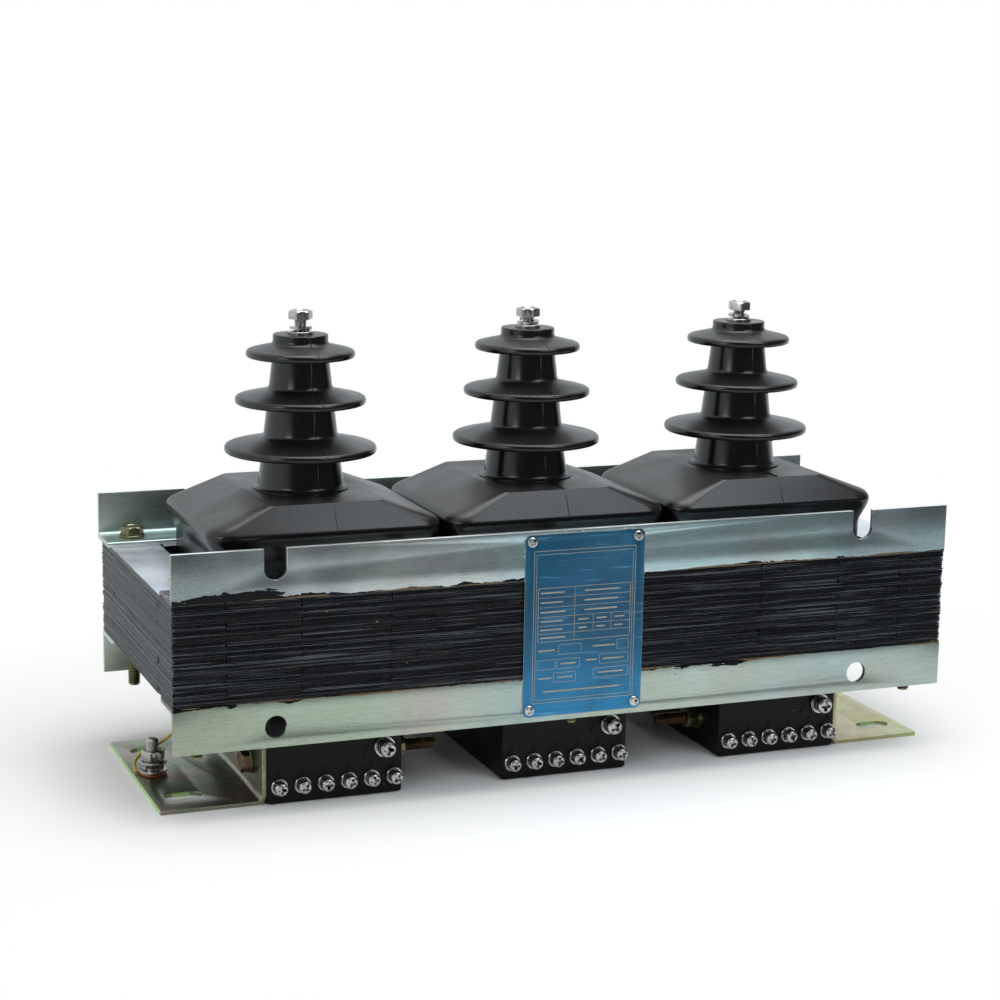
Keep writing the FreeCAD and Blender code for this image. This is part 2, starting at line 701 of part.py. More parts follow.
def make_casting(phase, across):
    label = phase + "_casting"
    body = new_body(label)
    sketch = sketch_on(body, label + "_block_profile", "XY_Plane", "block_foot")
    rounded_rectangle(sketch, "block_half_width", "block_half_depth", "block_corner_radius")
    swept(body, "Pad", label + "_block", sketch, f"{BLOCK_TOP} - block_foot")
    sketch = sketch_on(body, label + "_coil_profile", "XY_Plane", "coil_underside")
    rounded_rectangle(sketch, "coil_half_width", "coil_half_depth", "coil_corner_radius")
    swept(body, "Pad", label + "_coil", sketch, "neck_top - coil_underside")
    cast_hood(body, label)
    cast_openings(body, label)
    cast_bores(body, label)
    tie(body, Placement__Base__x=across)
    node(body, label)


def make_windings(phase, across):
    """The former on the limb, the secondary wound on it and the primary outside that."""
    layers = [
        ("winding_former", "-former_wall", "0", "former_half_length"),
        ("secondary_winding", "0", "secondary_build", "secondary_half_length"),
        ("primary_winding", "secondary_build", "(secondary_build + primary_build)", "primary_half_length"),
    ]
    for name, inside, outside, length in layers:
        label = f"{phase}_{name}"
        body = new_body(label)
        half_width, half_height, middle = winding_opening(outside)
        sketch = sketch_on(body, label + "_outside", "XZ_Plane")
        if name == "winding_former":
            rectangle(sketch, f"-{half_width}", f"{middle} - {half_height}", half_width, f"{middle} + {half_height}")
        else:
            rounded_rectangle(sketch, half_width, half_height, "winding_corner_radius", middle)
        swept(body, "Pad", label + "_solid", sketch, f"2 * {length}", symmetric=True)
        half_width, half_height, middle = winding_opening(inside)
        sketch = sketch_on(body, label + "_inside", "XZ_Plane")
        if name == "primary_winding":
            rounded_rectangle(sketch, half_width, half_height, "winding_corner_radius", middle)
        else:
            rectangle(sketch, f"-{half_width}", f"{middle} - {half_height}", half_width, f"{middle} + {half_height}")
        swept(body, "Pocket", label + "_opening", sketch, f"3 * {length}", symmetric=True)
        tie(body, Placement__Base__x=across)
        node(body, label)


# High-voltage terminals on top of the bushings

def make_terminals():
    leads, bolts, springs, washers = [], [], [], []
    _, half_height, middle = winding_opening("(secondary_build + primary_build)")
    winding_top = f"({middle} + {half_height})"
    lifts = {"left": "left_bolt_lift", "middle": "middle_bolt_lift", "right": "right_bolt_lift"}
    for phase, across in PHASES.items():
        insert = rod(phase + "_insert", "insert_radius", "insert_length", (across, "0", "collar_top - insert_length"))
        lead = rod(phase + "_lead", "lead_radius", f"collar_top - insert_length - {winding_top} + 1",
                   (across, "0", winding_top))
        tapping = rod(phase + "_tapping", INSIDE_THREAD, "insert_thread_depth + 1",
                      (across, "0", "collar_top - insert_thread_depth"))
        leads.append(cut(phase + "_conductor", join(phase + "_insert_and_lead", insert, lead), tapping))
        washers.append(ring(phase + "_flat_washer", "washer_radius", SHANK_HOLE, "washer_thickness",
                            (across, "0", "collar_top")))
        springs.append(spring_washer(phase + "_spring_washer", (across, "0", "collar_top + washer_thickness"),
                                     "spring_washer_height"))
        seat = f"(collar_top + washer_thickness + spring_washer_height + {lifts[phase]})"
        bolts.append(join(phase + "_terminal_bolt",
                          hexagon(phase + "_bolt_head", "hex_head_height", (across, "0", seat), turn=10),
                          rod(phase + "_bolt_shank", "thread_radius", "terminal_bolt_length + 0.5",
                              (across, "0", f"{seat} - terminal_bolt_length"))))
    group("high_voltage_conductors", leads)
    group("high_voltage_bolts", bolts)
    group("high_voltage_spring_washers", springs)
    group("high_voltage_washers", washers)


def spring_washer(name, at, height, axis="z"):
    """A ring with a split in it."""
    body = ring(name + "_ring", "spring_washer_radius", SHANK_HOLE, height, at, axis)
    if axis == "z":
        split = block(name + "_split", "spring_washer_radius + 1", "spring_washer_split", f"{height} + 2",
                      (at[0], f"({at[1]}) - spring_washer_split / 2", f"({at[2]}) - 1"))
    else:
        split = block(name + "_split", f"{height} + 2", "spring_washer_split", "spring_washer_radius + 1",
                      (f"({at[0]}) - 1", f"({at[1]}) - spring_washer_split / 2", at[2]))
    return cut(name, body, split)


# Screw terminals on the front of each block

def make_screws():
    face = "-block_half_depth"
    screws, washers, inserts = [], [], []
    neutral_screws, neutral_washers, neutral_inserts = [], [], []
    for phase, across in PHASES.items():
        for index, step in enumerate(SCREW_STEPS):
            name = f"{phase}_terminal{index}"
            spot = f"({across} + screw_row_offset + {step} * screw_pitch)"
            screws.append(pan_screw(name + "_screw", spot, "screw_row_height", "screw_radius", "screw_head_radius",
                                    "screw_head_height", "screw_lift"))
            washers.append(ring(name + "_washer", "screw_washer_radius", "screw_radius + shank_clearance",
                                "screw_washer_thickness", (spot, f"{face} - screw_washer_thickness",
                                                           "screw_row_height"), "y"))
            inserts.append(ring(name + "_insert", "screw_insert_radius", "screw_radius + screw_clearance",
                                "screw_insert_depth", (spot, face, "screw_row_height"), "y"))
        name = phase + "_neutral"
        spot = f"({across} + neutral_offset)"
        neutral_screws.append(pan_screw(name + "_screw", spot, "neutral_height", "neutral_screw_radius",
                                        "neutral_head_radius", "neutral_head_height", "neutral_lift"))
        neutral_washers.append(ring(name + "_washer", "neutral_washer_radius",
                                    "neutral_screw_radius + shank_clearance", "screw_washer_thickness",
                                    (spot, f"{face} - screw_washer_thickness", "neutral_height"), "y"))
        neutral_inserts.append(ring(name + "_insert", "neutral_insert_radius", "neutral_screw_radius + screw_clearance",
                                    "neutral_insert_depth", (spot, face, "neutral_height"), "y"))
    group("terminal_screws", screws)
    group("terminal_washers", washers)
    group("terminal_inserts", inserts)
    group("neutral_screws", neutral_screws)
    group("neutral_washers", neutral_washers)
    group("neutral_inserts", neutral_inserts)


def pan_screw(name, across, level, radius, head_radius, head_height, lift):
    """A screw along Y, not driven home: the underside of its head stands off the block's face."""
    seat = f"(-block_half_depth - {lift})"
    shank = rod(name + "_shank", radius, f"{lift} + screw_engagement + 0.5", (across, f"{seat} - 0.5", level), "y")
    lower = rod(name + "_head", head_radius, f"{head_height} * 0.6", (across, f"{seat} - {head_height} * 0.6", level),
                "y")
    crown = doc.addObject("Part::Cone", name + "_crown")
    tie(crown, Radius1=f"{head_radius} * 0.72", Radius2=head_radius, Height=f"{head_height} * 0.4")
    place(crown, (across, f"{seat} - {head_height}", level), "y")
    return join(name, shank, lower, crown)


# Bolts that clamp the angles on the core

def make_clamp_bolts():
    bolts, washers, nuts = [], [], []
    for side, front in (("front", f"-{CLAMP_Y}"), ("rear", CLAMP_Y)):
        for spot, across in (("left", f"-{CLAMP_X}"), ("middle", "0"), ("right", CLAMP_X)):
            name = f"{side}_{spot}_clamp"
            head = f"({UPPER_SEAT} + washer_thickness)"
            under = f"({LOWER_SEAT} - washer_thickness)"
            loop = "earth_conductor" if (side, spot) == ("front", "left") else "0"
            bolts.append(join(name + "_bolt",
                              hexagon(name + "_head", "hex_head_height", (across, front, head), turn=30),
                              rod(name + "_shank", "thread_radius", "clamp_bolt_length + 0.5",
                                  (across, front, f"{head} - clamp_bolt_length"))))
            washers.append(ring(name + "_upper_washer", "washer_radius", SHANK_HOLE, "washer_thickness",
                                (across, front, UPPER_SEAT)))
            washers.append(ring(name + "_lower_washer", "washer_radius", SHANK_HOLE, "washer_thickness",
                                (across, front, under)))
            nuts.append(hex_nut(name + "_nut", (across, front, f"{under} - nut_height - {loop}"), turn=30))
    group("clamp_bolts", bolts)
    group("clamp_washers", washers)
    group("clamp_nuts", nuts)


def hex_nut(name, at, axis="z", turn=0):
    return cut(name, hexagon(name + "_body", "nut_height", at, axis, turn),
               rod(name + "_bore", INSIDE_THREAD, "nut_height", at, axis))


# Feet under the outer castings

def make_foot(phase, side):
    """A folded plate: one flange against the casting's block, the other outwards on the ground."""
    label = phase + "_foot"
    body = new_body(label)
    against = f"({side} * {BLOCK_SIDE})"
    outside = f"({side} * ({BLOCK_SIDE} + foot_wall))"
    profile = sketch_on(body, label + "_profile", "XZ_Plane")
    outline(profile, [(against, "0"), (f"{side} * foot_reach", "0"), (f"{side} * foot_reach", "foot_wall"),
                      (outside, "foot_wall"), (outside, "foot_flange_height"), (against, "foot_flange_height")])
    swept(body, "Pad", label + "_fold", profile, "foot_depth", symmetric=True)
    rounded_edges(body, label + "_inner_bend", "foot_bend_radius",
                  lambda edge: straight_edge_at(edge, 1, number(outside), number("foot_wall")))
    rounded_edges(body, label + "_outer_bend", "foot_bend_radius + foot_wall",
                  lambda edge: straight_edge_at(edge, 1, number(against), 0))
    reach = number(f"{side} * foot_reach")
    rounded_edges(body, label + "_corners", "foot_corner_radius",
                  lambda edge: isinstance(edge.Curve, Part.Line)
                  and all(near(vertex.X, reach) for vertex in edge.Vertexes)
                  and near(edge.Vertexes[0].Y, edge.Vertexes[1].Y))
    for index, turn in enumerate((-1, 1)):
        middle = f"({turn} * foot_slot_spacing / 2)"
        straight = "(foot_slot_length / 2 - foot_slot_width / 2)"
        centre = f"({side} * foot_slot_centre)"
        sketch = sketch_on(body, f"{label}_slot{index}", "XY_Plane", "foot_wall / 2")
        rectangle(sketch, f"{centre} - {straight}", f"{middle} - foot_slot_width / 2",
                  f"{centre} + {straight}", f"{middle} + foot_slot_width / 2")
        swept(body, "Pocket", f"{label}_slot_cut{index}", sketch, "foot_wall * 2", symmetric=True)
        for end in (-1, 1):
            name = f"{label}_slot_end{index}_{end + 1}"
            sketch = sketch_on(body, name, "XY_Plane", "foot_wall / 2")
            disc(sketch, (f"{centre} + {end} * {straight}", middle), "foot_slot_width / 2")
            swept(body, "Pocket", name + "_cut", sketch, "foot_wall * 2", symmetric=True)
    sketch = sketch_on(body, label + "_bolt_holes", "YZ_Plane", f"{side} * ({BLOCK_SIDE} + foot_wall / 2)")
    for turn in (-1, 1):
        disc(sketch, (f"{turn} * foot_bolt_spacing / 2", "foot_bolt_height"), SHANK_HOLE)
    swept(body, "Pocket", label + "_bolt_cut", sketch, "foot_wall * 2", symmetric=True)
    if phase == "left":
        sketch = sketch_on(body, label + "_stud_hole", "XY_Plane", "foot_wall / 2")
        disc(sketch, ("-earth_stud_centre", "0"), "thread_radius")
        swept(body, "Pocket", label + "_stud_cut", sketch, "foot_wall * 2", symmetric=True)
    node(body, label)


def make_foot_bolts():
    """Long bolts through each outer block: head on the foot, nut on the inner side."""
    bolts, washers, springs, nuts = [], [], [], []
    for phase, side in (("left", -1), ("right", 1)):
        outside = f"({BLOCK_SIDE} + foot_wall)"
        inside = "(phase_pitch - block_half_width)"
        for spot, turn in (("front", -1), ("rear", 1)):
            name = f"{phase}_{spot}_foot"
            along = f"({turn} * foot_bolt_spacing / 2)"

            def at(distance, thickness):
                """The lower end, along X, of something between two distances from the middle."""
                start = distance if side > 0 else f"(-({distance}) - ({thickness}))"
                return (start, along, "foot_bolt_height")

            head = f"({outside} + washer_thickness)"
            bolts.append(join(name + "_bolt",
                              hexagon(name + "_head", "hex_head_height", at(head, "hex_head_height"), "x", 20),
                              rod(name + "_shank", "thread_radius", "foot_bolt_length + 0.5",
                                  at(f"{head} - foot_bolt_length", "foot_bolt_length + 0.5"), "x")))
            washers.append(ring(name + "_head_washer", "washer_radius", SHANK_HOLE, "washer_thickness",
                                at(outside, "washer_thickness"), "x"))
            washers.append(ring(name + "_nut_washer", "washer_radius", SHANK_HOLE, "washer_thickness",
                                at(f"{inside} - washer_thickness", "washer_thickness"), "x"))
            spring = f"({inside} - washer_thickness - spring_washer_height)"
            springs.append(spring_washer(name + "_spring", at(spring, "spring_washer_height"),
                                         "spring_washer_height", "x"))
            nuts.append(hex_nut(name + "_nut", at(f"{spring} - nut_height", "nut_height"), "x", 20))
    group("foot_bolts", bolts)
    group("foot_bolt_washers", washers)
    group("foot_bolt_spring_washers", springs)
    group("foot_bolt_nuts", nuts)


# Earth stud on the left foot and its wire

def bare_loop(name, centre, level, radius, tail_towards):
    """A ring of bare conductor lying flat, with a short tail that leaves it towards an angle in degrees."""
    conductor = doc.addObject("Part::Torus", name + "_ring")
    tie(conductor, Radius1=radius, Radius2="earth_conductor / 2")
    place(conductor, (centre[0], centre[1], f"{level} + earth_conductor / 2"))
    tail = doc.addObject("Part::Cylinder", name + "_tail")
    tie(tail, Radius="earth_conductor / 2 * 0.98", Height="earth_tail_length")
    tie(tail, Placement__Base__x=f"{centre[0]} + {radius} * cos({tail_towards})",
        Placement__Base__y=f"{centre[1]} + {radius} * sin({tail_towards})",
        Placement__Base__z=f"{level} + earth_conductor / 2")
    tail.Placement = Placement(tail.Placement.Base, Rotation(Vector(0, 0, 1), Vector(
        math.cos(math.radians(tail_towards)), math.sin(math.radians(tail_towards)), 0)))
    return join(name, conductor, tail)


def make_earthing():
    spot = ("-earth_stud_centre", "0")
    node(rod("earth_stud", "thread_radius", "earth_stud_top", spot + ("0",)), "earth_stud")
    loop = bare_loop("earth_stud_loop", spot, "foot_wall", "earth_loop_radius", 170)
    upper = bare_loop("clamp_bolt_loop", (f"-{CLAMP_X}", f"-{CLAMP_Y}"),
                      f"({LOWER_SEAT} - washer_thickness - earth_conductor)", "upper_loop_radius", 110)
    group("earth_wire_loops", [loop, upper])
    first = "(foot_wall + earth_conductor)"
    spring = f"({first} + washer_thickness)"
    second = f"({spring} + earth_spring_height)"
    washers = [ring(name, "earth_washer_radius", SHANK_HOLE, "washer_thickness", spot + (level,))
               for name, level in (("lower_earth_washer", first), ("upper_earth_washer", second))]
    group("earth_washers", washers)
    node(spring_washer("earth_spring_washer", spot + (spring,), "earth_spring_height"), "earth_spring_washer")
    node(hex_nut("earth_nut", spot + (f"{second} + washer_thickness",), turn=15), "earth_nut")


# The insulated wire from the stud's loop, round behind the stud and up to the clamp bolt
WIRE_ROUTE = [
    (-254.9, 2.3, 3.7), (-255.4, 11.0, 6.4), (-248.6, 18.6, 10.6), (-240.4, 12.6, 16.6), (-238.3, 0.0, 23.0),
    (-236.9, -14.5, 31.0), (-236.8, -31.0, 39.5), (-238.4, -48.0, 47.5), (-240.2, -62.5, 56.0),
    (-240.7, -75.4, 65.6),
]


def rounded_path(points):
    """Straight runs joined by tangent arcs, each as large as the shorter run beside it allows."""
    corners = [Vector(*point) for point in points]
    edges, start = [], corners[0]
    for before, corner, after in zip(corners, corners[1:], corners[2:]):
        into, out = corner - before, after - corner
        trim = 0.45 * min(into.Length, out.Length)
        half_turn = into.getAngle(out) / 2
        radius = trim / math.tan(half_turn)
        print(f"wire bend at {tuple(corner)}: radius {radius:.1f} mm, turn {math.degrees(2 * half_turn):.0f}")
        arc_start = corner - into.normalize() * trim
        arc_end = corner + out.normalize() * trim
        inward = (arc_start + arc_end) / 2 - corner
        to_centre = math.hypot(trim, radius)
        arc_middle = corner + inward.normalize() * (to_centre - radius)
        edges.append(Part.LineSegment(start, arc_start).toShape())
        edges.append(Part.Arc(arc_start, arc_middle, arc_end).toShape())
        start = arc_end
    edges.append(Part.LineSegment(start, corners[-1]).toShape())
    return Part.Wire(edges)


def make_earth_wire():
    path = rounded_path(WIRE_ROUTE)
    first = Vector(*WIRE_ROUTE[0])
    direction = Vector(*WIRE_ROUTE[1]) - first
    radius = number("earth_wire_diameter / 2")
    section = Part.Wire(Part.makeCircle(radius, first, direction))
    tube = path.makePipeShell([section], True, False)
    wire = doc.addObject("Part::Feature", "earth_wire")
    wire.Shape = tube
    expected = math.pi * radius ** 2 * path.Length
    print(f"earth wire: length {path.Length:.1f} mm, volume {tube.Volume:.1f} of {expected:.1f}")
    node(wire, "earth_wire")


# Rating plate on the front

def make_plate():
    body = new_body("rating_plate")
    sketch = sketch_on(body, "rating_plate_outline", "XZ_Plane", "clamp_depth / 2")
    rounded_rectangle(sketch, "plate_width / 2", "plate_height / 2", "plate_corner_radius",
                      "(plate_bottom + plate_height / 2)")
    swept(body, "Pad", "rating_plate_sheet", sketch, "plate_thickness")
    sketch = sketch_on(body, "rating_plate_holes", "XZ_Plane", "clamp_depth / 2 + plate_thickness")
    rivets = []
    for index, (across, level) in enumerate(rivet_places(LOW_RIVETS) + rivet_places(HIGH_RIVETS)):
        disc(sketch, (f"{across} - plate_offset", level), "rivet_radius + rivet_clearance")
        front = "-(clamp_depth / 2 + plate_thickness)"
        head = rod(f"rivet{index}_head", "rivet_head_radius", "rivet_head_height",
                   (across, f"{front} - rivet_head_height", level), "y")
        shank = rod(f"rivet{index}_shank", "rivet_radius", "plate_thickness + angle_wall + rivet_head_height",
                    (across, f"{front} - rivet_head_height / 2", level), "y")
        rivets.append(join(f"rivet{index}", head, shank))
    swept(body, "Pocket", "rating_plate_hole_cut", sketch, "plate_thickness")
    tie(body, Placement__Base__x="plate_offset")
    node(body, "rating_plate")
    group("rating_plate_rivets", rivets)


make_angles()
make_core()
for phase, across in PHASES.items():
    make_casting(phase, across)
    make_bushing(phase, across)
    make_windings(phase, across)
make_terminals()
make_screws()
make_clamp_bolts()
make_foot("left", -1)
make_foot("right", 1)
make_foot_bolts()
make_earthing()
make_earth_wire()
make_plate()
doc.recompute()

for thing in doc.Objects:
    if "Invalid" in thing.State or "Error" in thing.State:
        raise RuntimeError(f"{thing.Name} is {thing.State}")
for thing in nodes:
    if thing.Shape.isNull() or not thing.Shape.isValid() or not thing.Shape.Solids:
        raise RuntimeError(f"{thing.Label} has no valid solid")

os.makedirs("parts", exist_ok=True)
for thing in nodes:
    thing.Shape.exportStep(os.path.join("parts", thing.Label + ".step"))
print(f"{len(nodes)} nodes, {sum(len(thing.Shape.Solids) for thing in nodes)} solids")
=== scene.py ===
import math
import random

import bmesh
import bpy
from mathutils import Matrix, Vector


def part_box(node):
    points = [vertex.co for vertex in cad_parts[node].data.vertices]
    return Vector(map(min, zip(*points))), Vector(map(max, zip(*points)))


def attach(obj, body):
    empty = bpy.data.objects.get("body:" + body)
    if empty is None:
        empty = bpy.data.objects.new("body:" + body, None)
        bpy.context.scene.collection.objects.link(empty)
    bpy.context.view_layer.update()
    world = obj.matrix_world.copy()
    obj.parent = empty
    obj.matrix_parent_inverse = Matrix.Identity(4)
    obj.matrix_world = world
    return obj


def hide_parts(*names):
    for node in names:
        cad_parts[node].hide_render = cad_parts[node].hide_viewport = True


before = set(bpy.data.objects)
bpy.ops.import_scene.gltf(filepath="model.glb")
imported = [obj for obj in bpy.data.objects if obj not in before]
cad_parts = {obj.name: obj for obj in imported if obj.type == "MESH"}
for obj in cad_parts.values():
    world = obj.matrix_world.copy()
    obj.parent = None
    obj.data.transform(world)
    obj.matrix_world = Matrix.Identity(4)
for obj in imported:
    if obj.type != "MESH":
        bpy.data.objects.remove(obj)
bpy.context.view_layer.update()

bl_info = {
    "name": "Three-phase voltage transformer",
    "version": (1, 0, 0),
    "blender": (4, 5, 0),
    "location": "View3D > Sidebar > Transformer",
    "description": "Dresses a three-phase voltage transformer: cast resin, laminated core, plated steel",
    "category": "Object",
}

MM = 0.001
PHASES = ("left", "middle", "right")


def low(node):
    return Vector(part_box(node)[0])


def high(node):
    return Vector(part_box(node)[1])


# Levels and places read from the frame
CORE_BOTTOM = low("front_yoke").z
CORE_TOP = high("front_yoke").z
CORE_END = high("front_yoke").x
CORE_FRONT = low("front_yoke").y
YOKE_INSIDE = high("front_yoke").y
FRONT_FACE = low("front_top_angle").y
FLANGE_WALL = 3 * MM
BLOCK_FRONT = low("terminal_washers").y + 1 * MM
COLLAR_TOP = low("high_voltage_washers").z
AXES = {phase: (low(f"{phase}_casting").x + high(f"{phase}_casting").x) / 2 for phase in PHASES}

# Bushing: rim radius and middle height of each shed, in millimetres
SHEDS = ((47.0, 202.9), (40.3, 233.1), (33.5, 261.7))
SHED_RIM = 4.6
SHED_SLOPE = 0.24
SHED_UNDERCUT = 0.06
COLUMN_TOP = (16.6, 267.0)
COLUMN_TAPER = 0.113
COLLAR_RADIUS = 17.0
FOOT_RING = (30.1, 0.4)
SEAM_DRIFT = (1.0, 5.0)

# Hood: half width, half depth, plan corner, height and softness of each crease, in millimetres
HOOD = ((67, 58, 9, 52, 2), (67, 58, 9, 147, 3), (72.4, 62.4, 13, 157, 3), (74, 64, 15, 162, 3),
        (71.4, 61.8, 14, 166.2, 3.5), (37, 56, 6, 178.7, 3.5))
HOOD_TOP = 179.0
BLOCK_HALF = (42.5, 75.0)
WINDOW_HALF = (29.1, 32.1)
PACKETS = 12
WINDING_LAYERS = ((6, 52), (14, 46))

# Screw terminals, in millimetres from the casting's axis and the ground
SCREW_ROW = tuple(1 + step * 14.5 for step in (-2.5, -1.5, -0.5, 0.5, 1.5, 2.5))
SCREW_HEIGHT = 11.0
NEUTRAL = (31.0, 30.0)

# Earth wire: its thickness, half the thickness of its bare rings, and its route in millimetres
WIRE_THICKNESS = 2.1 * MM
RING_HALF = 0.7 * MM
WIRE_ROUTE = (
    (-254.9, 2.3, 3.7), (-255.4, 11.0, 6.4), (-248.6, 18.6, 10.6), (-240.4, 12.6, 16.6), (-238.3, 0.0, 23.0),
    (-236.9, -14.5, 31.0), (-236.8, -31.0, 39.5), (-238.4, -48.0, 47.5), (-240.2, -62.5, 56.0),
    (-240.7, -75.4, 65.6),
)

# M8 fasteners: hexagon, thread and nut, and washers as outer radius, inner radius and thickness
FLATS = 13 * MM
BOLT_HEAD = 5.3 * MM
THREAD_RADIUS = 3.9 * MM
NUT_HEIGHT = 6.5 * MM
NUT_BORE = 4 * MM
WASHER_WALL = 1.6 * MM
WASHER = (8 * MM, 4.4 * MM, WASHER_WALL)
SPRING_RING = (6.9 * MM, 4.4 * MM)
SPRING_CLEARANCE = 0.02 * MM
STACK_HEIGHT = 3.8 * MM
RING_SPACE = 1.4 * MM

# Clamp bolts: how far in from the core's end and front face; foot bolts: spread, level and the foot's wall
CLAMP_INSET = (17 * MM, 14.5 * MM)
FOOT_BOLT_SPREAD = 45 * MM
FOOT_BOLT_LEVEL = 20 * MM
FOOT_WALL = 2.5 * MM

# Rivets of the rating plate
RIVET_RADIUS = 3.2 * MM
RIVET_HEAD = 1.25 * MM

# What counts as a sharp edge, in degrees, as a flat face, and as the sheared side of a plate
SHARP_ANGLE = 40
FLAT_ENOUGH = 0.01 * MM
SHEARED_WIDTH = 3.2 * MM

# What reflections see: the dim room in front of the object, and the cool white behind and above it
ROOM_LEVEL = 0.1
COOL_WHITE = (0.9, 0.97, 1.0)

# Tints that the finishes are mixed from, and how rolled steel is lined
# Lighter tone of up-facing resin: dust, and painted light from above
DUST_AND_TOP_LIGHT = (0.019, 0.0155, 0.0155)
CHALK = (0.35, 0.34, 0.33)
PINK_FILM = (0.44, 0.34, 0.34)
OLIVE_FILM = (0.4, 0.42, 0.22)
PALE_ZINC = (0.5, 0.56, 0.53)
SCUFFED_ZINC = (0.12, 0.14, 0.13)
BROWN_LINE = (0.13, 0.085, 0.04)
# Lighter lines on the core: rubbed varnish and painted glints
RUBBED_VARNISH_AND_GLINT = (0.085, 0.09, 0.095)
BROWN_DRIP = (0.3, 0.24, 0.17)
SHEET_STEEL = ((0.84, 0.89, 0.94), (0.6, 0.64, 0.71))
RUBBED_BLUE = (0.12, 0.36, 0.62)
ANGLE_LINES = (45, 45, 2400)
FOOT_LINES = (30, 700, 30)

# Directions in which a fastener's head can face
UP = (0, 0, 0)
FORWARD = (math.pi / 2, 0, 0)
TO_RIGHT = (0, math.pi / 2, 0)
TO_LEFT = (0, -math.pi / 2, 0)


class TransformerSizes(bpy.types.PropertyGroup):
    edge_bevel: bpy.props.FloatProperty(name="Edge bevel", description="Rounding of sheared plate edges",
                                        default=0.5 * MM, min=0, unit="LENGTH")
    sheet_rows: bpy.props.IntProperty(name="Sheets in the stack", description="Rows of core sheets that show",
                                      default=48, min=12, max=120)
    sheet_setback: bpy.props.FloatProperty(name="Sheet setback", description="How unevenly the sheets lie",
                                           default=0.42 * MM, min=0, unit="LENGTH")
    sheet_burr: bpy.props.FloatProperty(name="Sheet edge", description="Chamfer along the sheets' edges",
                                        default=0.22 * MM, min=0, unit="LENGTH")
    thread_pitch: bpy.props.FloatProperty(name="Thread pitch", description="Pitch of the M8 threads",
                                          default=1.25 * MM, min=0.5 * MM, unit="LENGTH")
    seam_height: bpy.props.FloatProperty(name="Seam height", description="Height of the mould's parting line",
                                         default=0.4 * MM, min=0, unit="LENGTH")
    lathe_steps: bpy.props.IntProperty(name="Steps round a bushing", description="Faces round each bushing",
                                       default=144, min=24, max=360)


class TransformerColours(bpy.types.PropertyGroup):
    resin: bpy.props.FloatVectorProperty(name="Resin", description="Colour of the cast resin", subtype="COLOR",
                                         default=(0.0046, 0.0038, 0.004), min=0, max=1)
    varnish: bpy.props.FloatVectorProperty(name="Varnish", description="Colour of the core's black varnish",
                                           subtype="COLOR", default=(0.0045, 0.005, 0.006), min=0, max=1)
    plate: bpy.props.FloatVectorProperty(name="Rating plate", description="Blue of the rating plate",
                                         subtype="COLOR", default=(0.008, 0.105, 0.21), min=0, max=1)
    wire: bpy.props.FloatVectorProperty(name="Earth wire", description="Colour of the wire's sheath",
                                        subtype="COLOR", default=(0.55, 0.42, 0.03), min=0, max=1)


class StageSettings(bpy.types.PropertyGroup):
    camera_place: bpy.props.FloatVectorProperty(name="Camera", description="Where the camera stands",
                                                default=(-0.5441, -1.3383, 0.4474), subtype="TRANSLATION",
                                                unit="LENGTH")
    camera_turn: bpy.props.FloatVectorProperty(name="Camera turn", description="Yaw, pitch down and roll",
                                               default=(math.radians(21.4997), math.radians(11.2036),
                                                        math.radians(0.9813)), subtype="EULER")
    lens: bpy.props.FloatProperty(name="Lens", description="Focal length on a 36 mm sensor", default=82.18,
                                  unit="CAMERA")
    overhead: bpy.props.FloatProperty(name="Overhead light", description="Power of the large light above",
                                      default=14, min=0, unit="POWER")
    front: bpy.props.FloatProperty(name="Front light", description="Power of the light at the front",
                                   default=7.5, min=0, unit="POWER")
    fill: bpy.props.FloatProperty(name="Fill", description="Strength of the light from all round", default=0.42,
                                  min=0)


# Meshes

def skin(shell, first, second):
    """Join two rings of equal count, or a ring and a single point, with faces."""
    count = max(len(first), len(second))
    for index in range(count):
        after = (index + 1) % count
        corners = [first[index % len(first)], first[after % len(first)],
                   second[after % len(second)], second[index % len(second)]]
        corners = list(dict.fromkeys(corners))
        if len(corners) > 2:
            shell.faces.new(corners)


def circle(shell, radius, height, steps):
    """A ring of points round the upright axis, or one point on it."""
    if radius < 1e-7:
        return [shell.verts.new((0, 0, height))]
    turns = (2 * math.pi * step / steps for step in range(steps))
    return [shell.verts.new((radius * math.cos(turn), radius * math.sin(turn), height)) for turn in turns]


def lathe(shell, profile, steps, closed=False):
    """Turn a profile of (radius, height) points about the upright axis."""
    rings = [circle(shell, radius, height, steps) for radius, height in profile]
    for lower, upper in zip(rings, rings[1:] + (rings[:1] if closed else [])):
        skin(shell, lower, upper)


def loft(shell, rings):
    """Join rings of points upwards and close both ends."""
    made = [[shell.verts.new(point) for point in ring] for ring in rings]
    for lower, upper in zip(made, made[1:]):
        skin(shell, lower, upper)
    shell.faces.new(reversed(made[0]))
    shell.faces.new(made[-1])


def soften(points, steps=4):
    """Round the corners of an open line: each point ends with how far its corner is softened."""
    rounded = [Vector(points[0][:-1])]
    for before, corner, after in zip(points, points[1:], points[2:]):
        middle, trim = Vector(corner[:-1]), corner[-1]
        back, onward = Vector(before[:-1]) - middle, Vector(after[:-1]) - middle
        start = middle + back * min(trim / back.length, 0.45) if trim else middle
        end = middle + onward * min(trim / onward.length, 0.45) if trim else middle
        for step in range(steps + 1 if trim else 1):
            share = step / steps
            rounded.append(start * (1 - share) ** 2 + middle * 2 * share * (1 - share) + end * share ** 2)
    rounded.append(Vector(points[-1][:-1]))
    return rounded


def rounded_ring(half_width, half_depth, corner, height, steps=7):
    """A level outline with rounded corners."""
    ring = []
    for quarter, (side, end) in enumerate(((1, 1), (-1, 1), (-1, -1), (1, -1))):
        for step in range(steps + 1):
            turn = math.radians(90 * (quarter + step / steps))
            ring.append(Vector((side * (half_width - corner) + corner * math.cos(turn),
                                end * (half_depth - corner) + corner * math.sin(turn), height)))
    return ring


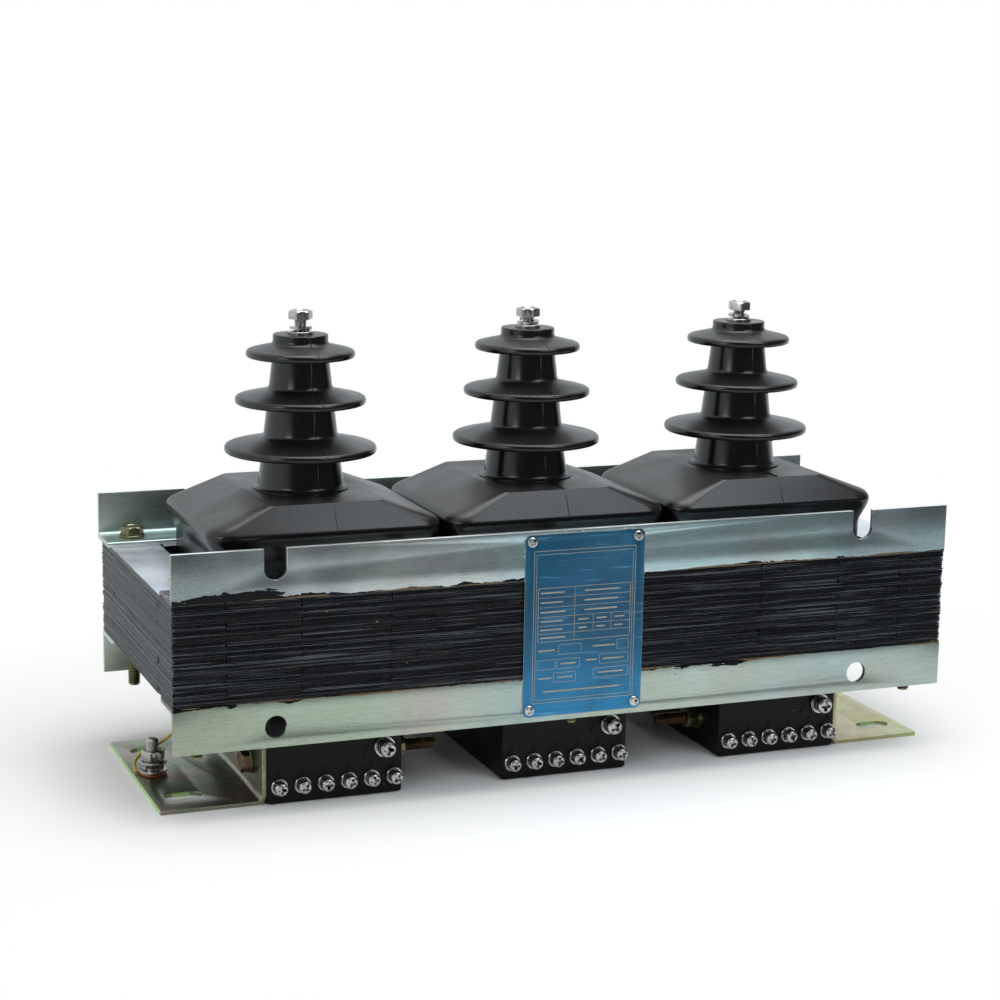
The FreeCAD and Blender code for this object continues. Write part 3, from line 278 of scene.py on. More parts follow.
def finish_mesh(shell, name, smooth_angle=35):
    bmesh.ops.remove_doubles(shell, verts=shell.verts, dist=1e-7)
    bmesh.ops.recalc_face_normals(shell, faces=shell.faces)
    mesh = bpy.data.meshes.new(name)
    shell.to_mesh(mesh)
    shell.free()
    return smoothed(mesh, smooth_angle)


def smoothed(mesh, smooth_angle=35):
    mesh.polygons.foreach_set("use_smooth", [True] * len(mesh.polygons))
    mesh.set_sharp_from_angle(angle=math.radians(smooth_angle))
    return mesh


def moved(mesh, matrix):
    mesh.transform(matrix)
    return mesh


def joined(name, *meshes):
    """One mesh from several, keeping their smooth and sharp edges."""
    total = bmesh.new()
    for mesh in meshes:
        total.from_mesh(mesh)
        bpy.data.meshes.remove(mesh)
    result = bpy.data.meshes.new(name)
    total.to_mesh(result)
    total.free()
    return result


def placed(name, data):
    """A new object with that mesh, curve, lamp or camera, linked to the scene."""
    made = bpy.data.objects.new(name, data)
    bpy.context.scene.collection.objects.link(made)
    return made


def piece(name, mesh, slot, *replaced, materials=()):
    """Put a finished mesh into the scene as a piece of the object."""
    made = placed(name, mesh)
    if materials:
        slots = [0] * len(mesh.polygons)
        mesh.polygons.foreach_get("material_index", slots)
        mesh.materials.clear()
        for material in materials:
            mesh.materials.append(material)
        mesh.polygons.foreach_set("material_index", slots)
    settle(made, slot, *replaced)
    return made


def settle(made, slot, *replaced):
    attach(made, "root")
    if replaced:
        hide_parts(*replaced)


def evaluated(made):
    """The object's mesh with its modifiers applied; the object itself goes."""
    graph = bpy.context.evaluated_depsgraph_get()
    mesh = bpy.data.meshes.new_from_object(made.evaluated_get(graph), depsgraph=graph)
    bpy.data.objects.remove(made)
    return mesh


def from_node(node, bevel, sheared=SHEARED_WIDTH):
    """A clean copy of a node's mesh, bevelled; bevels and sheared faces take the second material."""
    shell = bmesh.new()
    shell.from_mesh(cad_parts[node].data)
    bmesh.ops.remove_doubles(shell, verts=shell.verts, dist=1e-6)
    bmesh.ops.dissolve_limit(shell, angle_limit=math.radians(0.5), verts=shell.verts, edges=shell.edges)
    sharp = [edge for edge in shell.edges
             if len(edge.link_faces) == 2 and edge.calc_face_angle() > math.radians(SHARP_ANGLE)]
    made = bmesh.ops.bevel(shell, geom=sharp, offset=bevel, segments=2, profile=0.5, affect="EDGES",
                           clamp_overlap=True)
    for face in shell.faces:
        spans = [max(axis) - min(axis) for axis in zip(*(corner.co for corner in face.verts))]
        flat, width, _ = sorted(spans)
        face.material_index = int(flat < FLAT_ENOUGH and width < sheared)
    for face in made["faces"]:
        face.material_index = 1
    mesh = bpy.data.meshes.new(node + "_form")
    shell.to_mesh(mesh)
    shell.free()
    return smoothed(mesh, 30)


# Geometry Nodes that set fasteners and stack sheets

def node_tree(name, kind, inputs, outputs):
    tree = bpy.data.node_groups.new(name, kind)
    for label, socket in inputs:
        tree.interface.new_socket(label, in_out="INPUT", socket_type="NodeSocket" + socket)
    for label, socket in outputs:
        tree.interface.new_socket(label, in_out="OUTPUT", socket_type="NodeSocket" + socket)
    return tree, tree.nodes.new("NodeGroupInput").outputs, tree.nodes.new("NodeGroupOutput").inputs


def put(tree, kind, inputs=None, **settings):
    """Add a node, set its properties, and link or set its inputs."""
    made = tree.nodes.new(kind)
    for name, value in settings.items():
        setattr(made, name, value)
    for name, value in (inputs or {}).items():
        if isinstance(value, bpy.types.NodeSocket):
            tree.links.new(value, made.inputs[name])
        else:
            made.inputs[name].default_value = value
    return made


def calc(tree, operation, first, second=0.0, clamp=False):
    return put(tree, "ShaderNodeMath", {0: first, 1: second}, operation=operation, use_clamp=clamp).outputs[0]


def fastener_tree():
    """Sets one item on every seat, facing as the seat says, with a seeded roll about its own axis."""
    tree, given, result = node_tree(
        "Set fasteners", "GeometryNodeTree",
        (("Seats", "Geometry"), ("Item", "Object"), ("Roll", "Float"), ("Seed", "Int"), ("Finish", "Material")),
        (("Fasteners", "Geometry"),))
    facing = put(tree, "GeometryNodeInputNamedAttribute", {"Name": "facing"}, data_type="FLOAT_VECTOR")
    stretch = put(tree, "GeometryNodeInputNamedAttribute", {"Name": "stretch"}, data_type="FLOAT_VECTOR")
    turned = put(tree, "FunctionNodeEulerToRotation", {0: facing.outputs[0]})
    least = calc(tree, "MULTIPLY", given["Roll"], -1.0)
    roll = put(tree, "FunctionNodeRandomValue", {2: least, 3: given["Roll"], "Seed": given["Seed"]},
               data_type="FLOAT")
    about = put(tree, "FunctionNodeAxisAngleToRotation", {"Axis": (0, 0, 1), "Angle": roll.outputs[1]})
    whole = put(tree, "FunctionNodeRotateRotation", {0: turned.outputs[0], 1: about.outputs[0]},
                rotation_space="LOCAL")
    item = put(tree, "GeometryNodeObjectInfo", {"Object": given["Item"], "As Instance": True})
    setting = put(tree, "GeometryNodeInstanceOnPoints",
                  {"Points": given["Seats"], "Instance": item.outputs["Geometry"], "Rotation": whole.outputs[0],
                   "Scale": stretch.outputs[0]})
    real = put(tree, "GeometryNodeRealizeInstances", {0: setting.outputs[0]})
    finish = put(tree, "GeometryNodeSetMaterial", {"Geometry": real.outputs[0], "Material": given["Finish"]})
    tree.links.new(finish.outputs[0], result["Fasteners"])
    return tree


def sheet_tree():
    """Stacks one thin sheet on every seat, as large as the seat says, each a little out of line."""
    tree, given, result = node_tree(
        "Stack sheets", "GeometryNodeTree",
        (("Seats", "Geometry"), ("Setback", "Float"), ("Seed", "Int"), ("Finish", "Material")),
        (("Sheets", "Geometry"),))
    stretch = put(tree, "GeometryNodeInputNamedAttribute", {"Name": "stretch"}, data_type="FLOAT_VECTOR")
    least = calc(tree, "MULTIPLY", given["Setback"], -1.0)
    lowest = put(tree, "ShaderNodeCombineXYZ", {"X": least, "Y": least})
    highest = put(tree, "ShaderNodeCombineXYZ", {"X": given["Setback"], "Y": given["Setback"]})
    shift = put(tree, "FunctionNodeRandomValue",
                {0: lowest.outputs[0], 1: highest.outputs[0], "Seed": given["Seed"]}, data_type="FLOAT_VECTOR")
    uneven = put(tree, "GeometryNodeSetPosition", {"Geometry": given["Seats"], "Offset": shift.outputs[0]})
    sheet = put(tree, "GeometryNodeMeshCube", {"Size": (1, 1, 1)})
    setting = put(tree, "GeometryNodeInstanceOnPoints",
                  {"Points": uneven.outputs[0], "Instance": sheet.outputs[0], "Scale": stretch.outputs[0]})
    real = put(tree, "GeometryNodeRealizeInstances", {0: setting.outputs[0]})
    finish = put(tree, "GeometryNodeSetMaterial", {"Geometry": real.outputs[0], "Material": given["Finish"]})
    tree.links.new(finish.outputs[0], result["Sheets"])
    return tree


def seats_mesh(name, seats):
    """Points that carry which way a fastener faces and how much it is stretched."""
    mesh = bpy.data.meshes.new(name)
    mesh.from_pydata([seat[0] for seat in seats], [], [])
    for attribute, column in (("facing", 1), ("stretch", 2)):
        layer = mesh.attributes.new(attribute, "FLOAT_VECTOR", "POINT")
        layer.data.foreach_set("vector", [number for seat in seats for number in seat[column]])
    return mesh


def run_tree(name, maker, seats, **values):
    """Run a tree on the seats and give back the plain mesh."""
    tree = bpy.data.node_groups.get(TREES[maker]) or maker()
    carrier = placed(name + "_seats", seats_mesh(name + "_seats", seats))
    modifier = carrier.modifiers.new("Setting", "NODES")
    modifier.node_group = tree
    for socket in tree.interface.items_tree:
        if socket.in_out == "INPUT" and socket.name in values:
            modifier[socket.identifier] = values[socket.name]
    mesh = evaluated(carrier)
    mesh.name = name
    return mesh


TREES = {fastener_tree: "Set fasteners", sheet_tree: "Stack sheets"}


def set_fasteners(name, item, seats, material, slot, *replaced, roll=0.6, seed=1):
    """Set copies of an item's mesh on (place, facing) seats, as one piece."""
    pattern = placed(name + "_pattern", item)
    full = [(place, facing, (1, 1, 1)) for place, facing in seats]
    mesh = run_tree(name, fastener_tree, full, Item=pattern, Roll=roll, Seed=seed, Finish=material)
    bpy.data.objects.remove(pattern)
    return piece(name, mesh, slot, *replaced)


# Shared shader groups

def shader_group(name, inputs, outputs):
    found = bpy.data.node_groups.get(name)
    if found:
        return found, None, None
    return node_tree(name, "ShaderNodeTree", inputs, outputs)


def mottle_group():
    """Cloudy variation with finer speckle, both from 0 to 1."""
    group, given, result = shader_group("Mottle", (("Place", "Vector"), ("Scale", "Float"), ("Fine", "Float")),
                                        (("Cloud", "Float"), ("Speckle", "Float")))
    if given is None:
        return group
    cloud = put(group, "ShaderNodeTexNoise", {"Vector": given["Place"], "Scale": given["Scale"], "Detail": 4.0,
                                              "Distortion": 0.6})
    spread = put(group, "ShaderNodeMapRange", {"Value": cloud.outputs[0], "From Min": 0.3, "From Max": 0.7})
    fine = put(group, "ShaderNodeTexNoise", {"Vector": given["Place"], "Scale": given["Fine"], "Detail": 3.0})
    grain = put(group, "ShaderNodeMapRange", {"Value": fine.outputs[0], "From Min": 0.35, "From Max": 0.65})
    group.links.new(spread.outputs[0], result["Cloud"])
    group.links.new(grain.outputs[0], result["Speckle"])
    return group


def specks_group():
    """Rare small dots: dust, chips and splashes."""
    group, given, result = shader_group("Specks", (("Place", "Vector"), ("Scale", "Float"), ("Size", "Float"),
                                                   ("Rarity", "Float")), (("Mask", "Float"),))
    if given is None:
        return group
    cells = put(group, "ShaderNodeTexVoronoi", {"Vector": given["Place"], "Scale": given["Scale"]})
    near = calc(group, "LESS_THAN", cells.outputs["Distance"], given["Size"])
    tint = put(group, "ShaderNodeSeparateColor", {0: cells.outputs["Color"]})
    rare = calc(group, "GREATER_THAN", tint.outputs[0], given["Rarity"])
    group.links.new(calc(group, "MULTIPLY", near, rare), result["Mask"])
    return group


def brushed_group():
    """Fine lines that run along X, as a height."""
    group, given, result = shader_group("Rolled lines", (("Place", "Vector"), ("Stretch", "Vector")),
                                        (("Height", "Float"),))
    if given is None:
        return group
    long = put(group, "ShaderNodeVectorMath", {0: given["Place"], 1: given["Stretch"]}, operation="MULTIPLY")
    lines = put(group, "ShaderNodeTexNoise", {"Vector": long.outputs[0], "Scale": 1.0, "Detail": 3.0})
    group.links.new(lines.outputs[0], result["Height"])
    return group


def smear_group():
    """Varnish that has crept over a joint: solid at the level and ragged further out."""
    group, given, result = shader_group(
        "Varnish smear", (("Place", "Vector"), ("Level", "Float"), ("Side", "Float"), ("Reach", "Float")),
        (("Mask", "Float"), ("Line", "Float")))
    if given is None:
        return group
    parts = put(group, "ShaderNodeSeparateXYZ", {0: given["Place"]})
    above = calc(group, "MULTIPLY", calc(group, "SUBTRACT", parts.outputs[2], given["Level"]), given["Side"])
    along = put(group, "ShaderNodeVectorMath", {0: given["Place"], 1: (42, 42, 130)}, operation="MULTIPLY")
    ragged = put(group, "ShaderNodeTexNoise", {"Vector": along.outputs[0], "Scale": 1.0, "Detail": 7.0,
                                               "Roughness": 0.62})
    height = calc(group, "MULTIPLY", calc(group, "SUBTRACT", ragged.outputs[0], 0.38), given["Reach"])
    group.links.new(calc(group, "LESS_THAN", above, height), result["Mask"])
    patchy = put(group, "ShaderNodeTexNoise", {"Vector": given["Place"], "Scale": 24.0, "Detail": 3.0})
    thin = put(group, "ShaderNodeMapRange", {"Value": patchy.outputs[0], "From Min": 0.46, "From Max": 0.62,
                                             "To Max": 0.0014})
    wavy = calc(group, "MULTIPLY", calc(group, "ADD", ragged.outputs[0], 0.4), thin.outputs[0])
    group.links.new(calc(group, "LESS_THAN", above, wavy), result["Line"])
    return group


# Materials

def new_material(name):
    material = bpy.data.materials.new(name)
    material.use_nodes = True
    tree = material.node_tree
    shader = tree.nodes["Principled BSDF"]
    place = tree.nodes.new("ShaderNodeTexCoord").outputs["Object"]
    return material, tree, shader, place


def grouped(tree, group, inputs):
    """Place a shared shader group with this material's own values."""
    return put(tree, "ShaderNodeGroup", inputs, node_tree=group).outputs


def mix(tree, share, first, second):
    """Blend two colours."""
    first, second = (value if isinstance(value, bpy.types.NodeSocket) else (*value[:3], 1)
                     for value in (first, second))
    return put(tree, "ShaderNodeMix", {0: share, 6: first, 7: second}, data_type="RGBA").outputs[2]


def ramp(tree, share, stops):
    """A run of colours from (position, colour) stops."""
    made = put(tree, "ShaderNodeValToRGB", {0: share})
    elements = made.color_ramp.elements
    while len(elements) < len(stops):
        elements.new(0.5)
    for element, (position, colour) in zip(elements, stops):
        element.position = position
        element.color = (*colour[:3], 1)
    return made.outputs[0]


def between(tree, value, start, end, first=0.0, last=1.0):
    return put(tree, "ShaderNodeMapRange", {"Value": value, "From Min": start, "From Max": end, "To Min": first,
                                            "To Max": last}).outputs[0]


def bump(tree, shader, height, strength, distance):
    made = put(tree, "ShaderNodeBump", {"Height": height, "Strength": strength, "Distance": distance})
    tree.links.new(made.outputs[0], shader.inputs["Normal"])


def zinc_plate(name, stops, joint=None, smears=(), lines=ANGLE_LINES):
    """Passivated zinc: colour drifts along X, partly the plating's tint and partly painted reflection, clouds over
    it, and varnish creeps on from a joint.
    """
    material, tree, shader, place = new_material(name)
    parts = put(tree, "ShaderNodeSeparateXYZ", {0: place})
    clouds = grouped(tree, mottle_group(), {"Place": place, "Scale": 9.0, "Fine": 900.0})
    along = between(tree, parts.outputs[0], -CORE_END, CORE_END)
    drift = calc(tree, "ADD", along, calc(tree, "MULTIPLY", calc(tree, "SUBTRACT", clouds["Cloud"], 0.5), 0.22))
    # The stops' brightness along X is partly painted reflection
    colour = ramp(tree, drift, stops)
    tints = grouped(tree, mottle_group(), {"Place": place, "Scale": 15.0, "Fine": 6.0})
    colour = mix(tree, between(tree, tints["Cloud"], 0.55, 1.0, 0, 0.45), colour, PINK_FILM)
    colour = mix(tree, between(tree, tints["Speckle"], 0.6, 1.0, 0, 0.35), colour, OLIVE_FILM)
    colour = mix(tree, calc(tree, "MULTIPLY", clouds["Speckle"], 0.3), colour, PALE_ZINC)
    scuffs = grouped(tree, brushed_group(), {"Place": place, "Stretch": (110, 110, 1900)})
    scuffed = between(tree, scuffs["Height"], 0.5, 0.74, 0, 0.35)
    colour = mix(tree, scuffed, colour, SCUFFED_ZINC)
    roughness = calc(tree, "ADD", calc(tree, "MULTIPLY", clouds["Cloud"], 0.12), 0.25)
    metallic = 0.92
    if joint:
        level, side = joint
        reach = ramp(tree, along, [(position, (amount,) * 3) for position, amount in smears])
        reach = calc(tree, "MULTIPLY", reach, 0.035)
        smear = grouped(tree, smear_group(), {"Place": place, "Level": level, "Side": side, "Reach": reach})
        colour = mix(tree, smear["Mask"], colour, tuple(bpy.context.scene.transformer_colours.varnish))
        colour = mix(tree, smear["Line"], colour, BROWN_LINE)
        covered = calc(tree, "MAXIMUM", smear["Line"], smear["Mask"])
        roughness = between(tree, covered, 0, 1, roughness, 0.2)
        metallic = between(tree, covered, 0, 1, metallic, 0.0)
        tree.links.new(metallic, shader.inputs["Metallic"])
        shader.inputs["Specular IOR Level"].default_value = 0.12
    else:
        shader.inputs["Metallic"].default_value = metallic
    tree.links.new(colour, shader.inputs["Base Color"])
    tree.links.new(roughness, shader.inputs["Roughness"])
    rolled = grouped(tree, brushed_group(), {"Place": place, "Stretch": lines})
    grain = calc(tree, "MULTIPLY", clouds["Speckle"], 0.3)
    bump(tree, shader, calc(tree, "ADD", rolled["Height"], grain), 0.2, 0.1 * MM)
    return material


def bright_edge(name, colour):
    """Rubbed and sheared edges of plated steel, lighter than bare metal as painted edge highlights."""
    material, tree, shader, place = new_material(name)
    marks = grouped(tree, mottle_group(), {"Place": place, "Scale": 60.0, "Fine": 1500.0})
    tint = mix(tree, marks["Cloud"], colour, tuple(value * 0.75 for value in colour))
    tree.links.new(tint, shader.inputs["Base Color"])
    tree.links.new(between(tree, marks["Speckle"], 0, 1, 0.35, 0.5), shader.inputs["Roughness"])
    shader.inputs["Metallic"].default_value = 1.0
    return material


def resin_material(name="Cast resin", specular=0.5, rough=0.0):
    """Brown-black cast resin: satin hood, glossier column, a little dust on what faces up, whose lighter tone is
    also painted light from above.
    """
    material, tree, shader, place = new_material(name)
    colour = tuple(bpy.context.scene.transformer_colours.resin)
    parts = put(tree, "ShaderNodeSeparateXYZ", {0: place})
    clouds = grouped(tree, mottle_group(), {"Place": place, "Scale": 22.0, "Fine": 420.0})
    facing = put(tree, "ShaderNodeSeparateXYZ", {0: put(tree, "ShaderNodeNewGeometry").outputs["Normal"]})
    upward = between(tree, facing.outputs[2], 0.25, 0.95)
    # What faces up is lightened: partly dust, partly painted light falling from above
    dust_and_painted_top_light = calc(tree, "MULTIPLY", upward, between(tree, clouds["Cloud"], 0, 1, 0.35, 1.0))
    dusty_and_top_lit = mix(tree, dust_and_painted_top_light, colour, DUST_AND_TOP_LIGHT)
    specks = grouped(tree, specks_group(), {"Place": place, "Scale": 210.0, "Size": 0.09, "Rarity": 0.93})
    dusty_and_top_lit = mix(tree, calc(tree, "MULTIPLY", specks["Mask"], 0.45), dusty_and_top_lit, CHALK)
    tree.links.new(dusty_and_top_lit, shader.inputs["Base Color"])
    start, end = (HOOD_TOP - 1) * MM, (HOOD_TOP + 7) * MM
    level = between(tree, parts.outputs[2], start, end, 0.22 + rough, 0.19 + rough)
    shader.inputs["Specular IOR Level"].default_value = specular
    satin = calc(tree, "ADD", level, calc(tree, "MULTIPLY", dust_and_painted_top_light, 0.24))
    tree.links.new(calc(tree, "ADD", satin, calc(tree, "MULTIPLY", clouds["Speckle"], 0.012)),
                   shader.inputs["Roughness"])
    grain = calc(tree, "MULTIPLY", clouds["Speckle"], 0.004)
    bump(tree, shader, calc(tree, "ADD", clouds["Cloud"], grain), 0.22, 0.4 * MM)
    return material


def core_material():
    """Black-varnished sheet edges with thin lighter lines, partly rubbed varnish and partly painted glints, and
    bare blue-grey steel on the top and bottom sheets.
    """
    material, tree, shader, place = new_material("Varnished core sheets")
    varnish = tuple(bpy.context.scene.transformer_colours.varnish)
    parts = put(tree, "ShaderNodeSeparateXYZ", {0: place})
    fine = grouped(tree, brushed_group(), {"Place": place, "Stretch": (9, 9, 1900)})
    coarse = grouped(tree, brushed_group(), {"Place": place, "Stretch": (18, 18, 500)})
    # Thin lighter lines along the sheets and on the end faces: partly rubbed varnish and bare sheet edges, partly
    # painted glints
    wear_and_glints = calc(tree, "MULTIPLY", between(tree, fine["Height"], 0.56, 0.61),
                between(tree, coarse["Height"], 0.44, 0.52))
    ends = between(tree, calc(tree, "ABSOLUTE", parts.outputs[0]), CORE_END - 2 * MM, CORE_END - 1 * MM)
    end_lines_and_glints = calc(tree, "MULTIPLY", ends, between(tree, coarse["Height"], 0.48, 0.58, 0, 0.4))
    wear_and_glints = calc(tree, "ADD", wear_and_glints, end_lines_and_glints, clamp=True)
    colour = mix(tree, wear_and_glints, varnish, RUBBED_VARNISH_AND_GLINT)
    drips = grouped(tree, specks_group(), {"Place": place, "Scale": 160.0, "Size": 0.12, "Rarity": 0.95})
    colour = mix(tree, calc(tree, "MULTIPLY", drips["Mask"], 0.5), colour, BROWN_DRIP)
    facing = put(tree, "ShaderNodeSeparateXYZ", {0: put(tree, "ShaderNodeNewGeometry").outputs["Normal"]})
    flat = calc(tree, "GREATER_THAN", calc(tree, "ABSOLUTE", facing.outputs[2]), 0.9)
    clouds = grouped(tree, mottle_group(), {"Place": place, "Scale": 26.0, "Fine": 700.0})
    steel = mix(tree, clouds["Cloud"], *SHEET_STEEL)
    colour = mix(tree, flat, colour, steel)
    tree.links.new(colour, shader.inputs["Base Color"])
    tree.links.new(calc(tree, "MULTIPLY", flat, 0.8), shader.inputs["Metallic"])
    tree.links.new(between(tree, coarse["Height"], 0.3, 0.7, 0.16, 0.4), shader.inputs["Roughness"])
    shader.inputs["Specular IOR Level"].default_value = 0.07
    bump(tree, shader, coarse["Height"], 0.4, 0.0004)
    return material


def metal(name, colour, other, rough=0.25, scale=120.0, lines=0.15, metallic=1.0):
    """Plated or bare metal with cloudy tint and fine handling marks."""
    material, tree, shader, place = new_material(name)
    clouds = grouped(tree, mottle_group(), {"Place": place, "Scale": scale, "Fine": 1800.0})
    tree.links.new(mix(tree, clouds["Cloud"], colour, other), shader.inputs["Base Color"])
    roughness = between(tree, clouds["Speckle"], 0, 1, rough - 0.06, rough + 0.1)
    tree.links.new(roughness, shader.inputs["Roughness"])
    shader.inputs["Metallic"].default_value = metallic
    bump(tree, shader, clouds["Speckle"], lines, 0.00005)
    return material


def sheath(name, colour, rough=0.35):
    """Plastic or enamel with slight dirt."""
    material, tree, shader, place = new_material(name)
    clouds = grouped(tree, mottle_group(), {"Place": place, "Scale": 90.0, "Fine": 1500.0})
    dirt = tuple(value * 0.55 for value in colour)
    tree.links.new(mix(tree, calc(tree, "MULTIPLY", clouds["Cloud"], 0.7), colour, dirt),
                   shader.inputs["Base Color"])
    tree.links.new(between(tree, clouds["Speckle"], 0, 1, rough, rough + 0.15), shader.inputs["Roughness"])
    bump(tree, shader, clouds["Speckle"], 0.2, 0.00005)
    return material


def plate_material():
    """Printed blue with a lighter foot, cloudy wear and fine rubbing."""
    material, tree, shader, place = new_material("Printed plate")
    parts = put(tree, "ShaderNodeSeparateXYZ", {0: place})
    clouds = grouped(tree, mottle_group(), {"Place": place, "Scale": 30.0, "Fine": 900.0})
    height = between(tree, parts.outputs[2], low("rating_plate").z, high("rating_plate").z)
    shade = calc(tree, "ADD", height, calc(tree, "MULTIPLY", calc(tree, "SUBTRACT", clouds["Cloud"], 0.5), 0.3))
    blue = Vector(bpy.context.scene.transformer_colours.plate)
    strengths = ((0.0, 1.9), (0.25, 1.1), (0.6, 0.62), (0.84, 0.85), (1.0, 0.7))
    colour = ramp(tree, shade, [(position, blue * strength) for position, strength in strengths])
    rubs = grouped(tree, brushed_group(), {"Place": place, "Stretch": (30, 30, 420)})
    colour = mix(tree, between(tree, rubs["Height"], 0.6, 0.74, 0, 0.5), colour, RUBBED_BLUE)
    tree.links.new(colour, shader.inputs["Base Color"])
    tree.links.new(between(tree, clouds["Speckle"], 0, 1, 0.28, 0.42), shader.inputs["Roughness"])
    shader.inputs["Metallic"].default_value = 0.35
    bump(tree, shader, clouds["Speckle"], 0.12, 0.00006)
    return material


MAKERS = {
    # Upper angle: its dark ends and bright middle are painted reflection over the plating's tint
    "zinc_top": lambda: zinc_plate(
        "Zinc, upper front angle",
        ((0.0, (0.22, 0.26, 0.26)), (0.1, (0.26, 0.30, 0.31)), (0.25, (0.56, 0.60, 0.58)),
         (0.38, (0.46, 0.62, 0.64)), (0.6, (0.46, 0.63, 0.65)), (0.74, (0.42, 0.58, 0.60)),
         (0.87, (0.22, 0.31, 0.33)), (1.0, (0.25, 0.34, 0.36))),
        joint=(CORE_TOP, 1.0),
        smears=((0.0, 1.0), (0.12, 0.85), (0.17, 0.35), (0.26, 0.12), (0.3, 0.4), (0.42, 0.3), (0.47, 0.03),
                (0.62, 0.05), (0.7, 0.3), (0.88, 0.25), (1.0, 0.1))),
    "zinc_low": lambda: zinc_plate(
        "Zinc, lower front angle",
        ((0.0, (0.30, 0.34, 0.23)), (0.18, (0.36, 0.45, 0.33)), (0.3, (0.45, 0.49, 0.40)),
         (0.45, (0.36, 0.47, 0.44)), (0.7, (0.46, 0.57, 0.56)), (1.0, (0.38, 0.50, 0.54))),
        joint=(CORE_BOTTOM, -1.0),
        smears=((0.0, 0.3), (0.14, 0.25), (0.17, 0.04), (0.22, 0.18), (0.28, 0.03), (0.44, 0.25), (0.48, 0.1),
                (0.57, 0.1), (0.62, 0.6), (0.69, 0.5), (0.75, 0.06), (1.0, 0.05))),
    "zinc_rear": lambda: zinc_plate(
        "Zinc, rear angles",
        ((0.0, (0.52, 0.60, 0.53)), (0.15, (0.35, 0.49, 0.47)), (0.5, (0.30, 0.40, 0.39)),
         (1.0, (0.40, 0.52, 0.50)))),
    "zinc_left_foot": lambda: zinc_plate(
        "Zinc, left foot",
        ((0.0, (0.2, 0.27, 0.13)), (0.04, (0.17, 0.2, 0.12)), (0.07, (0.24, 0.14, 0.12)),
         (0.1, (0.11, 0.14, 0.08)), (0.14, (0.07, 0.08, 0.06)), (0.3, (0.2, 0.25, 0.12))), lines=FOOT_LINES),
    "zinc_right_foot": lambda: zinc_plate(
        "Zinc, right foot",
        ((0.7, (0.28, 0.36, 0.12)), (0.88, (0.36, 0.42, 0.10)), (0.93, (0.56, 0.36, 0.2)),
         (1.0, (0.5, 0.52, 0.16))), lines=FOOT_LINES),
    # Edge colours: rubbed and sheared metal, lightened as painted edge highlights
    "edge": lambda: bright_edge("Bright plated edge", (0.95, 0.98, 0.96)),
    "foot_edge_highlight": lambda: bright_edge("Green plated edge", (0.6, 0.85, 0.36)),
    "resin": resin_material,
    "block": lambda: resin_material("Cast resin, terminal blocks", 0.15, 0.12),
    "core": core_material,
    "yellow_zinc": lambda: metal("Yellow zinc", (0.30, 0.29, 0.16), (0.17, 0.15, 0.09), rough=0.3),
    "thread_zinc": lambda: metal("Zinc in the threads", (0.26, 0.16, 0.08), (0.12, 0.09, 0.06), rough=0.35),
    "stainless": lambda: metal("Stainless steel", (0.52, 0.5, 0.47), (0.3, 0.29, 0.28), rough=0.2),
    "nickel": lambda: metal("Nickel-plated screw", (0.62, 0.61, 0.59), (0.36, 0.36, 0.35), rough=0.2),
    "brass": lambda: metal("Turned brass", (0.62, 0.45, 0.16), (0.5, 0.36, 0.14), rough=0.28),
    "copper": lambda: metal("Bare copper", (0.62, 0.2, 0.07), (0.36, 0.12, 0.05), rough=0.34),
    "former": lambda: sheath("Winding former", (0.5, 0.42, 0.24), rough=0.6),
    "wire": lambda: sheath("Yellow sheath", tuple(bpy.context.scene.transformer_colours.wire)),
    "plate": plate_material,
    "print": lambda: metal("Bare lines of the plate", (0.42, 0.39, 0.31), (0.28, 0.27, 0.23), rough=0.4,
                           metallic=0.5),
    "glue": lambda: sheath("Dried adhesive", (0.42, 0.43, 0.4), rough=0.4),
}
made_materials = {}


def finish_of(key):
    """The material of that key, built the first time it is asked for."""
    if key not in made_materials:
        made_materials[key] = MAKERS[key]()
    return made_materials[key]


# Fastener items: the head's seat lies at the origin and the head faces +Z

def threaded_rod(shell, radius, start, end, pitch, steps=24):
    """A rod with rings of thread, chamfered and closed at both ends."""
    profile = [(0, start), (radius - pitch * 0.6, start)]
    count = int((end - start) / pitch) - 1
    for turn in range(count):
        base = start + pitch * (turn + 0.5)
        profile += [(radius - pitch * 0.55, base), (radius, base + pitch * 0.4), (radius, base + pitch * 0.55)]
    profile += [(radius - pitch * 0.6, end - pitch * 0.2), (radius - pitch * 0.9, end), (0, end)]
    lathe(shell, profile, steps)


def hexagon_block(shell, flats, base, top, bore=None):
    """A hexagonal head with a dished top, or a bored nut, whose corners are turned off at both ends."""
    steps, corner = 48, flats / 2 / math.cos(math.pi / 6)

    def outline(limit):
        ring = []
        for step in range(steps):
            turn = 2 * math.pi * step / steps
            inside = (turn + math.pi / 6) % (math.pi / 3) - math.pi / 6
            ring.append((min(flats / 2 / math.cos(inside), limit), turn))
        return ring

    drop = (corner - flats / 2) * 0.75
    levels = [(top, flats * 0.475), (top - drop * 0.25, flats * 0.5), (top - drop, corner)]
    if bore:
        levels += [(base + drop, corner), (base + drop * 0.25, flats * 0.5), (base, flats * 0.475)]
    else:
        levels.append((base, corner))
    rings = []
    for level, limit in levels:
        rings.append([shell.verts.new((radius * math.cos(turn), radius * math.sin(turn), level))
                      for radius, turn in outline(limit)])
    for upper, lower in zip(rings, rings[1:]):
        skin(shell, upper, lower)
    inner = ((bore, top), (bore, base)) if bore else ((flats * 0.36, top), (flats * 0.33, top - 0.35 * MM))
    circles = [circle(shell, radius, level, steps) for radius, level in inner]
    skin(shell, rings[0], circles[0])
    skin(shell, circles[0], circles[1])
    if bore:
        skin(shell, circles[1], rings[-1])
    else:
        shell.faces.new(circles[1])
        shell.faces.new(reversed(rings[-1]))


